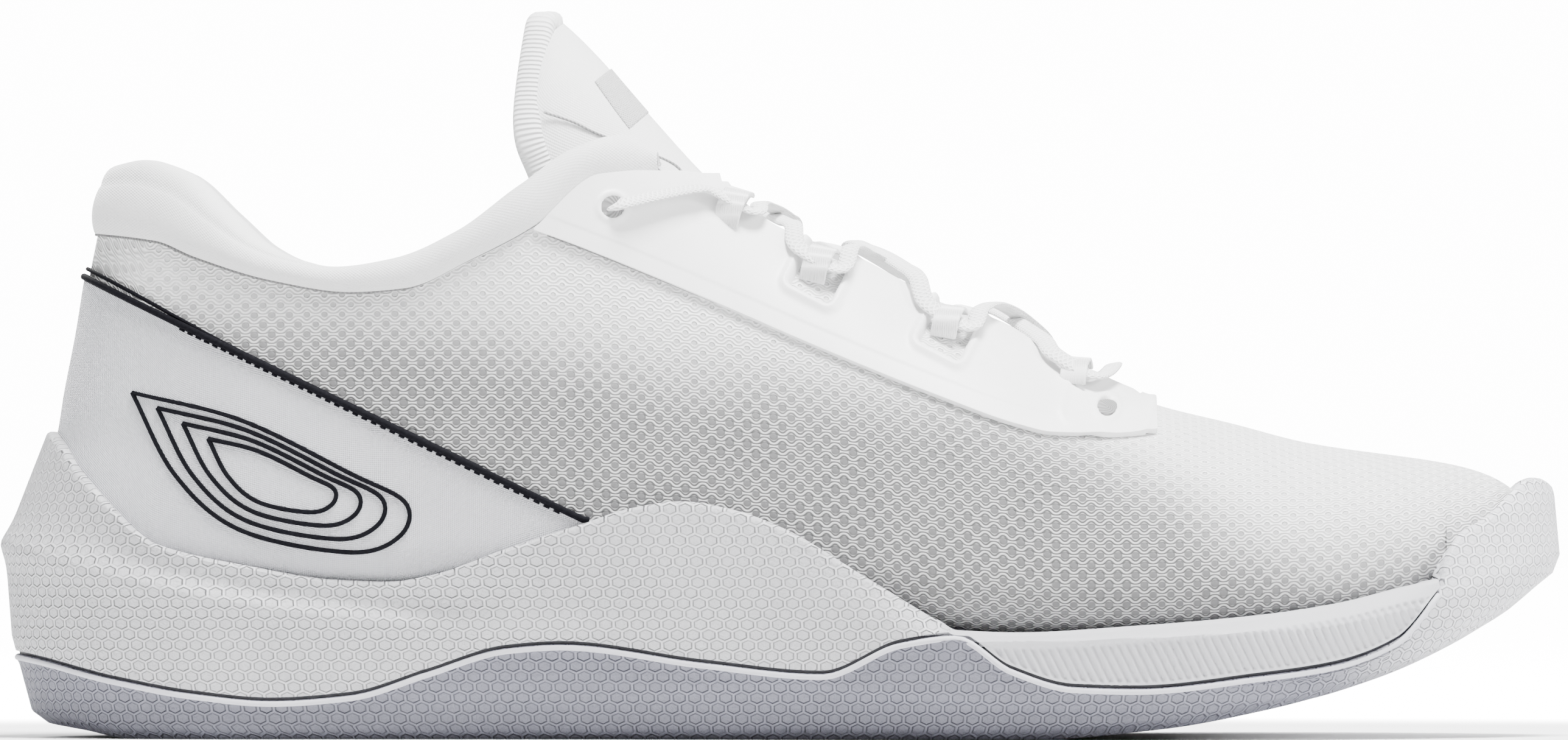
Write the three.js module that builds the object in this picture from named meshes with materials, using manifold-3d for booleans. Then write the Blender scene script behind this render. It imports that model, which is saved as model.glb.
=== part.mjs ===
// A low-top training shoe for the right foot, in millimetres.
// +X points to the toe, +Y to the inner (medial) side and +Z up. The sole stands on Z = 0.
import * as THREE from 'three';
import { ParametricGeometry } from 'three/addons/geometries/ParametricGeometry.js';
import { mergeVertices } from 'three/addons/utils/BufferGeometryUtils.js';
import Module from 'manifold-3d';

const wasm = await Module();
wasm.setup();

// Driving sizes. Every outline is drawn for the pattern size and graded from it, as shoe patterns are.
const pattern = { length: 285, width: 105, height: 133.6 };
const shoeLength = 285;
const soleWidth = 105;
const shoeHeight = 133.6;
const gradeX = shoeLength / pattern.length;
const gradeY = soleWidth / pattern.width;
const gradeZ = shoeHeight / pattern.height;

// Thicknesses and clearances.
const gap = 0.3;
const filmThick = 1;
const meshThick = 1;
const stiffenerThick = 1.6;
const liningThick = 0.8;
const boardThick = 2;
const sockThick = 4;
const sockClearance = 1;
const clipThick = 2.6;
const clipProud = 2.2;
const treadThick = 4;
const cupWall = 4.5;
const collarPad = 5.6;
const collarPadFront = 1.2;
const pipingProud = 0.9;
const pipingWidth = 1.3;
const trimProud = 0.4;
const trimWidth = 1.4;
const tongueCloth = 0.9;
const tonguePad = 2.8;
const tongueGap = 0.6;
const bindingRadius = 2.2;
const laceRadius = 1.2;
const loopThick = 0.7;
const loopWidth = 3.6;
const eyeletRadius = 2.6;

// Insets from the outer envelope of the upper to the outside of each layer.
const meshInset = filmThick + gap;
const stiffenerInset = meshInset + meshThick + gap;
const liningInset = stiffenerInset + stiffenerThick + gap;
const cavityInset = liningInset + liningThick;

// ---------------------------------------------------------------- curves

// A monotone cubic curve through points, flat beyond its ends.
function curve(points, gradeIn = gradeX, gradeOut = gradeZ) {
  const p = points.map(([a, b]) => [a * gradeIn, b * gradeOut]);
  const last = p.length - 1;
  const slope = i => (p[i + 1][1] - p[i][1]) / (p[i + 1][0] - p[i][0]);
  const tangent = p.map((_, i) => {
    if (i === 0) return slope(0);
    if (i === last) return slope(last - 1);
    const before = slope(i - 1);
    const after = slope(i);
    return before * after <= 0 ? 0 : 2 * before * after / (before + after);
  });
  return x => {
    if (x <= p[0][0]) return p[0][1];
    if (x >= p[last][0]) return p[last][1];
    const i = p.findIndex(q => q[0] > x) - 1;
    const h = p[i + 1][0] - p[i][0];
    const t = (x - p[i][0]) / h;
    return THREE.MathUtils.lerp(p[i][1], p[i + 1][1], t * t * (3 - 2 * t))
      + h * t * (1 - t) * ((1 - t) * tangent[i] - t * tangent[i + 1]);
  };
}

// A plan half-width curve. It runs over the angle of a circle on the shoe's length, so the ends come out round.
const planAngle = x => Math.acos(THREE.MathUtils.clamp(1 - 2 * x / shoeLength, -1, 1));
function halfWidth(points) {
  const overAngle = curve(points.map(([x, y]) => [planAngle(x * gradeX), y]), 1, gradeY);
  return x => overAngle(planAngle(x));
}

const centreline = curve([[0, 0], [110, -1], [200, 0], [250, 3], [285, 8]], gradeX, gradeY);
const soleHalf = {
  lateral: halfWidth([[0, 0], [8, 20], [20, 29.5], [40, 35.5], [75, 36], [110, 38], [150, 45],
    [185, 50.5], [215, 50.5], [240, 45.5], [262, 34], [275, 22.5], [285, 0]]),
  medial: halfWidth([[0, 0], [8, 20], [20, 29.5], [40, 35.5], [75, 35], [110, 34], [140, 37],
    [170, 44], [200, 50.5], [220, 51.5], [245, 46], [265, 32.5], [277, 19.5], [285, 0]]),
};

// Side-view lines of the sole.
const groundLine = curve([[0, 2.6], [8, 1.5], [18, 0], [188, 0], [214, 1.9], [235, 5.4], [257, 11.2],
  [271, 16.6], [280, 21.2], [285, 25]]);
const crestLine = curve([[0, 35.5], [28, 28], [61, 22.6], [99, 19.7], [174, 18], [235, 20],
  [262, 25], [275, 30], [285, 33.3]]);
const partingPoints = [[1.9, 15.5], [20.7, 11.2], [35.1, 8.6], [49.4, 7.3], [63.7, 8.3], [78, 12.6],
  [92.3, 16.9], [102.3, 17.6], [128, 14.3], [149.5, 12.3], [163.8, 18], [173.8, 19.3], [183.8, 13.3],
  [195.3, 10], [206.7, 9.7], [228.2, 11.9], [242.5, 14], [254, 18.3], [262.3, 27.6]];
const bumperPoints = [[264, 34.1], [266.8, 38.1], [271.1, 40.5], [276.9, 45.5], [278.3, 47.8], [290, 47.8]];
const clipTopPoints = [[8.6, 54.8], [13.6, 48.4], [20.7, 41.2], [27.9, 35.5], [45.1, 31.5], [60.8, 29],
  [70.8, 28.6], [79.4, 30], [90.9, 34.1], [106.6, 39.3], [123.8, 43.2], [132.3, 41.9], [142.4, 38.3],
  [156.7, 29.8], [171, 21.2], [173.8, 19.7]];
const strakeTopPoints = [[185.3, 19.3], [206.7, 20.5], [228.2, 22.3], [242.5, 24.3], [256.8, 27.6]];

// Side-view lines of the upper.
const heelBack = curve([[18, 5.5], [30, 3.4], [38, 3.4], [48, 6.5], [55, 9.4], [62.7, 10.7], [74.1, 12.9],
  [84.6, 14.6], [92.7, 16.2], [98.4, 17.2], [150, 26], [200, 32]], gradeZ, gradeX);
const featherLine = curve([[0, 23], [60, 22], [120, 19], [180, 13.5], [215, 13], [245, 16], [270, 22], [285, 27]]);
const girthLine = curve([[0, 38], [90, 38], [150, 35], [200, 30], [240, 31], [270, 34], [285, 36]]);
const topLine = curve([[0, 190], [92, 190], [104, 163], [113, 141], [120, 127], [130, 113], [142, 101.8],
  [155, 94.3], [168, 86], [185, 77.3], [195, 70.9], [205, 65.4], [214, 62], [228, 58.6], [242.5, 55],
  [264, 52], [275.4, 50.2], [285, 49]]);
const upperHalf = {
  lateral: halfWidth([[0, 0], [8, 18], [20, 27], [40, 34.5], [75, 37.5], [95, 39], [120, 39.5], [150, 43],
    [185, 47], [215, 46.5], [240, 41.5], [262, 30.5], [275, 19], [285, 0]]),
  medial: halfWidth([[0, 0], [8, 18], [20, 27], [40, 34.5], [75, 37], [95, 38], [120, 38], [150, 40],
    [185, 45.5], [215, 47.5], [240, 42.5], [262, 31], [275, 18.5], [285, 0]]),
};
const upperFront = 3 * gradeX;
const toeRoundStart = 262 * gradeX;
const heelLeanReach = 110 * gradeX;

const collarPoints = [[10, 88], [15.5, 96], [20.7, 103], [27.9, 104.9], [35.1, 102.7], [42.2, 96.3],
  [49.4, 89.8], [56.5, 86.3], [63.7, 84.8], [73.7, 86.3], [85.1, 91.3], [95.4, 99.9], [105.2, 106.3],
  [113.7, 108.2], [121.5, 105.2]];
const throatPoints = [[132.5, 101.5], [135.5, 97.7], [142.4, 92.9], [155.2, 88.2], [168.1, 81.5],
  [183.8, 75.3], [192.4, 69.8], [199, 67.2], [205.3, 64.6], [209, 62]];
const seamPoints = [[5, 93], [27.9, 90.6], [35.1, 87.7], [49.4, 83.4], [63.7, 81.3], [73.7, 82],
  [85.1, 87], [97.3, 93.4], [109.4, 103.4], [121.5, 104]];
const collarFootPoints = [[0, 66], [35, 61], [64, 58], [84, 64], [93, 82], [101, 94.5], [109, 102.2]];
const pipingPoints = [[-5, 93.6], [106.6, 39.8]];
const counterTopPoints = [[0, 60], [30, 58], [60, 44], [78, 30]];
const puffRearPoints = [[236, 10], [243, 34], [247, 62]];

// ---------------------------------------------------------------- solids

function toManifold(geometry) {
  const bare = geometry.index ? geometry.toNonIndexed() : geometry.clone();
  for (const name of Object.keys(bare.attributes)) {
    if (name !== 'position') bare.deleteAttribute(name);
  }
  const merged = mergeVertices(bare, 1e-3);
  const corners = [];
  for (let i = 0; i < merged.index.count; i += 3) {
    const [a, b, c] = [0, 1, 2].map(k => merged.index.getX(i + k));
    if (a !== b && b !== c && a !== c) corners.push(a, b, c);
  }
  return new wasm.Manifold(new wasm.Mesh({
    numProp: 3,
    vertProperties: new Float32Array(merged.attributes.position.array),
    triVerts: new Uint32Array(corners),
  }));
}

function toGeometry(solid) {
  const mesh = solid.getMesh();
  const geometry = new THREE.BufferGeometry();
  geometry.setAttribute('position', new THREE.BufferAttribute(Float32Array.from(mesh.vertProperties), 3));
  geometry.setIndex(Array.from(mesh.triVerts));
  geometry.computeVertexNormals();
  return geometry;
}

const stations = 24;

// A body lofted along the shoe: section(x, v) gives the point at plan station x and turn v around the section.
function loft(section, around) {
  const geometry = new ParametricGeometry((u, v, target) => {
    const x = shoeLength * (1 - Math.cos(Math.PI * u)) / 2;
    target.copy(section(x, v));
  }, stations, around);
  const solid = toManifold(geometry);
  if (solid.volume() > 0) return solid;
  const index = geometry.index.array;
  for (let i = 0; i < index.length; i += 3) [index[i], index[i + 1]] = [index[i + 1], index[i]];
  return toManifold(geometry);
}

const bodies = new Map();
const evaluate = (value, x) => (typeof value === 'function' ? value(x) : value);

// The closed form of the upper, drawn in by an inset that may vary along the shoe.
function upperBody(inset) {
  if (bodies.has(inset)) return bodies.get(inset);
  const boxiness = 0.72;
  const section = (x, v) => {
    const d = evaluate(inset, x);
    const rear = d;
    const front = upperFront + d;
    const along = rear + x * (shoeLength - rear - front) / shoeLength;
    const turn = 2 * Math.PI * v;
    const side = Math.cos(turn);
    const rise = Math.sin(turn);
    const half = side < 0 ? upperHalf.lateral(x) : upperHalf.medial(x);
    const reach = Math.max(half - d * Math.sin(planAngle(x)), 0);
    const toward = THREE.MathUtils.clamp((x - toeRoundStart) / (shoeLength - toeRoundStart), 0, 1);
    const close = Math.sqrt(1 - toward ** 4);
    const middle = girthLine(x);
    const top = (topLine(x) - d - middle) * close;
    const bottom = (middle - featherLine(x) - d) * Math.sqrt(1 - toward ** 6);
    const flat = rise < 0 ? boxiness : 1;
    const z = middle + (rise < 0 ? bottom : top) * Math.sign(rise) * Math.abs(rise) ** flat;
    const y = centreline(x) + reach * Math.sign(side) * Math.abs(side) ** flat;
    const lean = Math.max(1 - along / heelLeanReach, 0) ** 1.5;
    return new THREE.Vector3(along + heelBack(z) * lean, y, z);
  };
  const solid = loft(section, 16);
  bodies.set(inset, solid);
  return solid;
}

// The sole's side wall, as rings from the ground up: each has a height line and an inset from the plan outline.
const soleRings = [
  { z: x => groundLine(x), inset: curve([[0, 8], [40, 6], [150, 6.5], [240, 7], [285, 9]], gradeX, 1) },
  { z: x => groundLine(x) + 2.2, inset: curve([[0, 5], [40, 3.4], [150, 3.6], [240, 3.8], [285, 5]], gradeX, 1) },
  { z: x => THREE.MathUtils.lerp(groundLine(x) + 2.2, crestLine(x), 0.45), inset: () => 1.3 },
  { z: x => crestLine(x), inset: () => 0 },
  { z: x => crestLine(x) + 11 * gradeZ, inset: curve([[0, 3], [60, 2.6], [200, 2.4], [285, 1]], gradeX, 1) },
  { z: x => crestLine(x) + 24 * gradeZ, inset: curve([[0, 11], [60, 8], [200, 9], [285, 5]], gradeX, 1) },
];

function soleBody(extraInset, floor = 0) {
  const turns = 2 * (soleRings.length + 1);
  const section = (x, v) => {
    const step = Math.round(v * turns) % turns;
    const isCentre = step === 0 || step === soleRings.length + 1;
    const rises = step <= soleRings.length;
    const level = rises ? Math.max(step - 1, 0) : Math.min(turns - step, soleRings.length) - 1;
    const ring = soleRings[isCentre && step > 0 ? soleRings.length - 1 : level];
    const inset = ring.inset(x) + extraInset;
    const along = inset + x * (shoeLength - 2 * inset) / shoeLength;
    const half = rises ? -soleHalf.lateral(x) : soleHalf.medial(x);
    const reach = isCentre ? 0 : half - Math.sign(half) * Math.min(inset * Math.sin(planAngle(x)), Math.abs(half));
    const z = Math.max(ring.z(along), groundLine(along) + floor);
    return new THREE.Vector3(along, centreline(x) + reach, z);
  };
  return loft(section, turns);
}

// A slab across the whole shoe whose side view is drawn by runs of points; each run is a smooth line.
const sideSlab = (...runs) => shiftedSlab(0, 0, ...runs);
function shiftedSlab(dx, dz, ...runs) {
  const shape = new THREE.Shape();
  runs.forEach((run, i) => {
    const points = run.map(([x, z]) => new THREE.Vector2(x * gradeX, z * gradeZ));
    if (i === 0) shape.moveTo(points[0].x, points[0].y);
    else shape.lineTo(points[0].x, points[0].y);
    if (points.length === 2) shape.lineTo(points[1].x, points[1].y);
    if (points.length > 2) shape.splineThru(points.slice(1));
  });
  const width = 2 * soleWidth;
  const geometry = new THREE.ExtrudeGeometry(shape, { depth: width, bevelEnabled: false, curveSegments: 2 });
  geometry.rotateX(Math.PI / 2);
  geometry.translate(dx, width / 2, dz);
  return toManifold(geometry);
}

const lifted = (points, dz) => points.map(([x, z]) => [x, z + dz / gradeZ]);
const backward = points => [...points].reverse();
const above = (points, z = 260) => sideSlab(points, [[points.at(-1)[0], z], [points[0][0], z]]);
const below = (points, z = -60) => sideSlab(points, [[points.at(-1)[0], z], [points[0][0], z]]);
const alongCurve = (line, from, to, step) => {
  const points = [];
  for (let x = from; x <= to; x += step) points.push([x, line(x * gradeX) / gradeZ]);
  return points;
};

// A vertical plug of the sole's plan outline, drawn in by an inset.
function planPlug(inset) {
  const shape = new THREE.Shape();
  const count = 26;
  const point = (x, half, sign) => {
    const along = inset + x * (shoeLength - 2 * inset) / shoeLength;
    const reach = Math.max(half(x) - inset * Math.sin(planAngle(x)), 0);
    return new THREE.Vector2(along, centreline(x) + sign * reach);
  };
  const ring = [];
  for (let i = 0; i <= count; i += 1) {
    const x = shoeLength * (1 - Math.cos(Math.PI * i / count)) / 2;
    ring.push(point(x, soleHalf.lateral, -1));
  }
  for (let i = count - 1; i > 0; i -= 1) {
    const x = shoeLength * (1 - Math.cos(Math.PI * i / count)) / 2;
    ring.push(point(x, soleHalf.medial, 1));
  }
  shape.setFromPoints(ring);
  const geometry = new THREE.ExtrudeGeometry(shape, { depth: 2 * shoeHeight, bevelEnabled: false });
  geometry.translate(0, 0, -shoeHeight / 2);
  return toManifold(geometry);
}

function boxSolid(xRange, yRange, zRange) {
  const size = [xRange, yRange, zRange].map(([a, b]) => b - a);
  const centre = [xRange, yRange, zRange].map(([a, b]) => (a + b) / 2);
  return toManifold(new THREE.BoxGeometry(...size).translate(...centre));
}

const lateralHalf = boxSolid([-50, 400], [-200, -gap / 2], [-50, 300]);
const medialHalf = boxSolid([-50, 400], [gap / 2, 200], [-50, 300]);
const shell = (outer, inner) => upperBody(outer).subtract(upperBody(inner));

// The closed body with the largest volume, which leaves out slivers that a cut has parted from it.
function mainBody(solid) {
  const largest = cut => cut.decompose().sort((a, b) => b.volume() - a.volume())[0];
  return largest(toManifold(toGeometry(largest(solid))));
}

// ---------------------------------------------------------------- regions in side view

const openingPoints = [...collarPoints, ...throatPoints];
const opening = above(openingPoints);
const aboveSeam = above(seamPoints);
const featherPoints = alongCurve(featherLine, 0, 285, 19);
const flangeWidth = 7.5;
const boardZ = cavityInset - boardThick;
const bottomHole = below(lifted(featherPoints, cavityInset + gap)).intersect(planPlug(flangeWidth));
const beyondClip = below([...clipTopPoints, ...strakeTopPoints, [262.3, 29]]);

// ---------------------------------------------------------------- sole

const soleOuter = soleBody(0).add(upperBody(-clipProud).intersect(below(lifted(clipTopPoints, 3), -10)));
const footSpace = upperBody(-gap);
const outsoleEdge = [[-20, 15.5], ...partingPoints, ...bumperPoints];
const outsoleArea = (dx, dz) => shiftedSlab(dx, dz, outsoleEdge, [[290, -60], [-20, -60]]);
const outsoleRegion = outsoleArea(0, 0);
const outsoleMargin = outsoleArea(0, gap).add(outsoleArea(-gap, 0));
const clipRegion = sideSlab(clipTopPoints, [[171.5, 17]], backward(lifted(partingPoints.slice(0, 11), -2)),
  [[-20, 13.5], [-20, 60]]);
const seatOverlap = 0.6;
const boardSeat = below(lifted(featherPoints, boardZ - gap)).intersect(planPlug(flangeWidth + gap))
  .intersect(upperBody(-gap - seatOverlap));

function makeOutsole() {
  let solid = soleOuter.intersect(outsoleRegion).subtract(footSpace);
  solid = solid.subtract(soleBody(cupWall, treadThick));
  const grooveWidth = 2.4;
  const grooveDepth = 1.4;
  for (const x of [34, 52, 70, 88, 106, 160, 176, 192, 208, 224]) {
    const z = groundLine(x * gradeX);
    const centre = x * gradeX;
    const groove = boxSolid([centre - grooveWidth / 2, centre + grooveWidth / 2],
      [-soleWidth, soleWidth], [z - 3, z + grooveDepth]);
    solid = solid.subtract(groove);
  }
  return mainBody(solid);
}

function makeClip() {
  const aroundFoam = soleBody(clipThick).subtract(above(lifted(clipTopPoints, -clipThick)));
  return mainBody(soleOuter.intersect(clipRegion).subtract(outsoleMargin)
    .subtract(aroundFoam).subtract(footSpace));
}

function makeMidsole(clip) {
  const rim = sideSlab([[171.6, 17.5], [176, 19.7], ...strakeTopPoints, [262.3, 29]], [[268, 20], [268, -20],
    [171.6, -20]]);
  const carrier = soleBody(clipThick + gap).intersect(below(lifted(clipTopPoints, -clipThick - gap)));
  const strip = soleOuter.intersect(rim);
  const plug = soleBody(cupWall + gap, treadThick + gap).intersect(below([...lifted(clipTopPoints, -6),
    ...lifted(strakeTopPoints, -1), [285, 33]]));
  const seat = boardSeat.subtract(outsoleMargin);
  return mainBody(carrier.add(strip).subtract(outsoleMargin).add(plug)
    .subtract(footSpace).add(seat).subtract(clip));
}

// ---------------------------------------------------------------- upper

const counterRegion = below(counterTopPoints);
const puffRegion = sideSlab(puffRearPoints, [[300, 62], [300, 0]]);

function makeMeshUpper() {
  return mainBody(shell(meshInset, meshInset + meshThick)
    .subtract(opening).subtract(aboveSeam).subtract(bottomHole).subtract(rearEyeletHole()));
}

function makeStiffener(region) {
  return mainBody(shell(stiffenerInset, stiffenerInset + stiffenerThick)
    .intersect(region).subtract(bottomHole));
}

const padInset = curve([[0, cavityInset + collarPad], [78, cavityInset + collarPad],
  [100, cavityInset + collarPadFront], [285, cavityInset + collarPadFront]], gradeX, 1);
const padOuterInset = x => padInset(x) - liningThick - gap;
const padInnerInset = x => padInset(x) - liningThick;
const collarRegion = sideSlab([[-20, 93], ...collarFootPoints, [121, 104]], [[121, 240], [-20, 240]]);

function makeCollarFoam() {
  const overSeam = upperBody(filmThick + gap).subtract(upperBody(padOuterInset))
    .intersect(above(lifted(seamPoints, gap)));
  const underSeam = upperBody(liningInset).subtract(upperBody(padOuterInset));
  const region = collarRegion.subtract(above(lifted(collarPoints, -liningThick - gap)));
  return mainBody(overSeam.add(underSeam).intersect(region));
}

function makeCollarCover() {
  const foamSpace = upperBody(filmThick).subtract(upperBody(padInnerInset));
  const outside = upperBody(gap).subtract(upperBody(padInset)).intersect(above(lifted(seamPoints, gap)))
    .subtract(foamSpace.subtract(above(lifted(collarPoints, -liningThick))));
  const inside = upperBody(padInnerInset).subtract(upperBody(padInset)).intersect(collarRegion);
  return mainBody(outside.add(inside).subtract(above(collarPoints)).intersect(collarRegion
    .add(above(lifted(seamPoints, gap)).intersect(below([[-20, 240], [121, 240]])))));
}

function makeLining() {
  const thin = shell(liningInset, cavityInset);
  const thick = shell(stiffenerInset, cavityInset).subtract(sideSlab([[-20, 70], [34, 66], [64, 52],
    [82, 30], [84, -10], [-20, -10]])).subtract(sideSlab([[232, -10], [239, 34], [243, 80]], [[300, 80],
    [300, -10]])).subtract(collarRegion);
  return mainBody(thin.add(thick).subtract(opening).subtract(collarRegion).subtract(bottomHole)
    .subtract(above([[100, 103], [121, 103.5]])).subtract(rearEyeletHole(2.6)));
}

function makeBoard() {
  return mainBody(below(lifted(featherPoints, cavityInset)).intersect(above(lifted(featherPoints, boardZ), 120))
    .intersect(planPlug(flangeWidth + gap)).intersect(upperBody(gap)));
}

function makeSockliner() {
  const floor = lifted(featherPoints, cavityInset + gap);
  return mainBody(upperBody(cavityInset + sockClearance).intersect(above(floor, 120))
    .intersect(below(lifted(featherPoints, cavityInset + gap + sockThick))));
}

// ---------------------------------------------------------------- overlays

const eyestayRegion = sideSlab([[97.3, 92.8], [109.4, 102.8], [121, 103.6]], [[132, 110], [212, 110]],
  [[214, 56.9], [202.5, 55.8], [191.7, 56.2], [185.3, 57.4], [171, 62.5], [149.5, 71.2], [128, 80.5],
    [104, 90.2]]);

// Where the lace is carried: bottom eyelets, two windows, the band at the top, and the rear eyelet.
const laceStops = [[196, 65], [172.4, 74.2], [148.8, 84.2], [133.5, 94]];
const windowCentres = [[172.4, 71.6], [148.8, 81.8]];
const windowSize = [6.5, 6];
const rearEyelet = [111.6, 96.7];
const bottomEyelet = [201.5, 60.5];

const throatAngle = Math.atan2(throatPoints[0][1] - throatPoints.at(-1)[1],
  throatPoints.at(-1)[0] - throatPoints[0][0]);

function crossHole(shape, [x, z], turn) {
  const width = 2 * soleWidth;
  const geometry = new THREE.ExtrudeGeometry(shape, { depth: width, bevelEnabled: false, curveSegments: 4 });
  geometry.rotateZ(-turn).rotateX(Math.PI / 2).translate(x * gradeX, width / 2, z * gradeZ);
  return toManifold(geometry);
}

const circle = radius => new THREE.Shape().absarc(0, 0, radius, 0, 2 * Math.PI);
const rearEyeletHole = (wider = 0) => crossHole(circle(eyeletRadius + wider), rearEyelet, 0);

function makeEyestay(half) {
  let solid = shell(0, filmThick).intersect(eyestayRegion).subtract(opening).subtract(aboveSeam)
    .intersect(half).subtract(boxSolid([213.5 * gradeX, 400], [-200, 200], [-50, 300]));
  const [w, h] = windowSize;
  const frame = new THREE.Shape([[-w / 2, -h / 2], [w / 2, -h / 2], [w / 2, h / 2], [-w / 2, h / 2]]
    .map(([x, y]) => new THREE.Vector2(x, y)));
  for (const centre of windowCentres) solid = solid.subtract(crossHole(frame, centre, throatAngle));
  const oval = new THREE.Shape().absellipse(0, 0, 1.2 * eyeletRadius, 0.7 * eyeletRadius, 0, 2 * Math.PI);
  return mainBody(solid.subtract(rearEyeletHole()).subtract(crossHole(oval, bottomEyelet, 0)));
}

function makeHeelPanel() {
  const region = below(lifted(pipingPoints, -pipingWidth / 2 - gap));
  const rearPart = boxSolid([-50, 118 * gradeX], [-200, 200], [-50, 300]);
  return mainBody(shell(0, filmThick).intersect(region).intersect(rearPart).subtract(bottomHole)
    .subtract(below(lifted(featherPoints, 8))));
}

const footSpaceTop = [...clipTopPoints];
function makeHeelPiping() {
  const band = above(lifted(pipingPoints, -pipingWidth / 2)).intersect(below(lifted(pipingPoints,
    pipingWidth / 2)));
  const clear = below(lifted(footSpaceTop, gap)).intersect(upperBody(-clipProud - 1));
  return mainBody(shell(-pipingProud, filmThick).intersect(band).subtract(clear)
    .intersect(boxSolid([-50, 104 * gradeX], [-200, 200], [-50, 300])));
}

// A plain framed flash: a slanted four-sided outline that follows the heel panel.
function makeHeelTrim(half) {
  const outline = [[27, 62], [66, 47.5], [72, 42.5], [66, 37.5], [42, 41]];
  const centre = [50, 48];
  const inner = outline.map(([x, z]) => {
    const dx = centre[0] - x;
    const dz = centre[1] - z;
    const away = Math.hypot(dx, dz);
    return [x + dx / away * trimWidth * 1.6, z + dz / away * trimWidth * 1.6];
  });
  const frame = sideSlab(...outline.map(p => [p])).subtract(sideSlab(...inner.map(p => [p])));
  return mainBody(shell(-trimProud - gap, -gap).intersect(frame).intersect(half));
}

// ---------------------------------------------------------------- tongue

const tongueSpine = new THREE.CatmullRomCurve3([[209, 55], [197, 60.5], [185, 67], [168, 76], [150, 85.5],
  [138, 93.5], [128, 102.5], [118, 113.5], [109, 124], [103.8, 130.2]]
  .map(([x, z]) => new THREE.Vector3(x * gradeX, 0, z * gradeZ)));
const tongueHalf = curve([[0, 12], [0.2, 17], [0.45, 21.5], [0.6, 22], [0.85, 22], [0.93, 20.5], [1, 14]], 1, gradeY);
const tongueDrop = curve([[0, 2], [0.15, 6], [0.4, 14], [0.6, 19], [0.8, 21], [0.92, 14], [1, 5]], 1, gradeZ);
const tongueArc = 1.25;

// The point of the tongue at u from its sewn end to its tip, v from side to side, and a depth below its face.
function tonguePoint(u, v, depth) {
  const at = (a, b) => {
    const spine = tongueSpine.getPointAt(THREE.MathUtils.clamp(a, 0, 1));
    const ahead = tongueSpine.getTangentAt(THREE.MathUtils.clamp(a, 0, 1));
    const inward = new THREE.Vector3(ahead.z, 0, -ahead.x).multiplyScalar(-1);
    if (inward.z > 0) inward.negate();
    const bend = tongueArc * b;
    const across = tongueHalf(a) * Math.sin(bend) / Math.sin(tongueArc);
    const drop = tongueDrop(a) * (1 - Math.cos(bend)) / (1 - Math.cos(tongueArc));
    const p = spine.clone().addScaledVector(inward, drop);
    p.y = centreline(spine.x) + across;
    return p;
  };
  const du = 0.01;
  const along = at(Math.min(u + du, 1), v).sub(at(Math.max(u - du, 0), v));
  const over = at(u, v + du).sub(at(u, v - du));
  const normal = along.cross(over).normalize();
  if (normal.z > 0) normal.negate();
  return at(u, v).addScaledVector(normal, depth);
}

// A closed sheet between two depths of the tongue; its ends run out to an edge.
function tongueSheet(from, to, uRange, vMax, rows = 14, columns = 8) {
  const turns = 2 * columns + 2;
  const geometry = new ParametricGeometry((a, b, target) => {
    const step = Math.round(b * turns) % turns;
    const front = step <= columns;
    const v = vMax * (front ? 2 * step / columns - 1 : 1 - 2 * (step - columns - 1) / columns);
    const atEnd = a < 1e-6 || a > 1 - 1e-6;
    const depth = atEnd ? (from + to) / 2 : (front ? from : to);
    target.copy(tonguePoint(THREE.MathUtils.lerp(uRange[0], uRange[1], a), v, depth));
  }, rows, turns);
  const solid = toManifold(geometry);
  if (solid.volume() > 0) return solid;
  const index = geometry.index.array;
  for (let i = 0; i < index.length; i += 3) [index[i], index[i + 1]] = [index[i + 1], index[i]];
  return toManifold(geometry);
}

function tubeAlong(points, radius, steps, sides, tension = 0.5) {
  const path = new THREE.CatmullRomCurve3(points, false, 'catmullrom', tension);
  const ring = new THREE.Shape();
  const corners = [];
  for (let i = 0; i < sides; i += 1) {
    const turn = 2 * Math.PI * i / sides;
    corners.push(new THREE.Vector2(radius * Math.cos(turn), radius * Math.sin(turn)));
  }
  ring.setFromPoints(corners);
  return new THREE.ExtrudeGeometry(ring, { steps, bevelEnabled: false, extrudePath: path });
}

const tongueDepth = 2 * tongueCloth + tonguePad + 2 * tongueGap;
function makeTongueBinding() {
  const points = [];
  const middle = tongueDepth / 2;
  const offset = bindingRadius + 4 * gap;
  const edge = (u, side) => {
    const p = tonguePoint(u, side, middle);
    const inner = tonguePoint(u, side * 0.9, middle);
    return p.add(p.clone().sub(inner).setLength(offset));
  };
  for (const u of [0.56, 0.66, 0.76, 0.86, 0.93]) points.push(edge(u, -1));
  const tip = v => {
    const p = tonguePoint(1, v, middle);
    const before = tonguePoint(0.96, v, middle);
    return p.add(p.clone().sub(before).setLength(offset));
  };
  for (const v of [-0.8, -0.35, 0, 0.35, 0.8]) points.push(tip(v));
  for (const u of [0.93, 0.86, 0.76, 0.66, 0.56]) points.push(edge(u, 1));
  return tubeAlong(points, bindingRadius, 30, 8);
}

// ---------------------------------------------------------------- lacing

// The point of the upper's envelope at a side-view place, raised outwards by a lift.
function onUpper([px, pz], side, lift) {
  const x = px * gradeX;
  const z = pz * gradeZ;
  const half = side < 0 ? upperHalf.lateral(x) : upperHalf.medial(x);
  const middle = girthLine(x);
  const height = topLine(x) - middle;
  const at = zz => half * Math.sqrt(Math.max(1 - ((zz - middle) / height) ** 2, 0));
  const reach = at(z);
  const steep = new THREE.Vector3(0, reach / half ** 2, (z - middle) / height ** 2).normalize();
  return new THREE.Vector3(x, centreline(x) + side * (reach + lift * steep.y), z + lift * steep.z);
}

const throatLine = curve(throatPoints);

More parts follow.
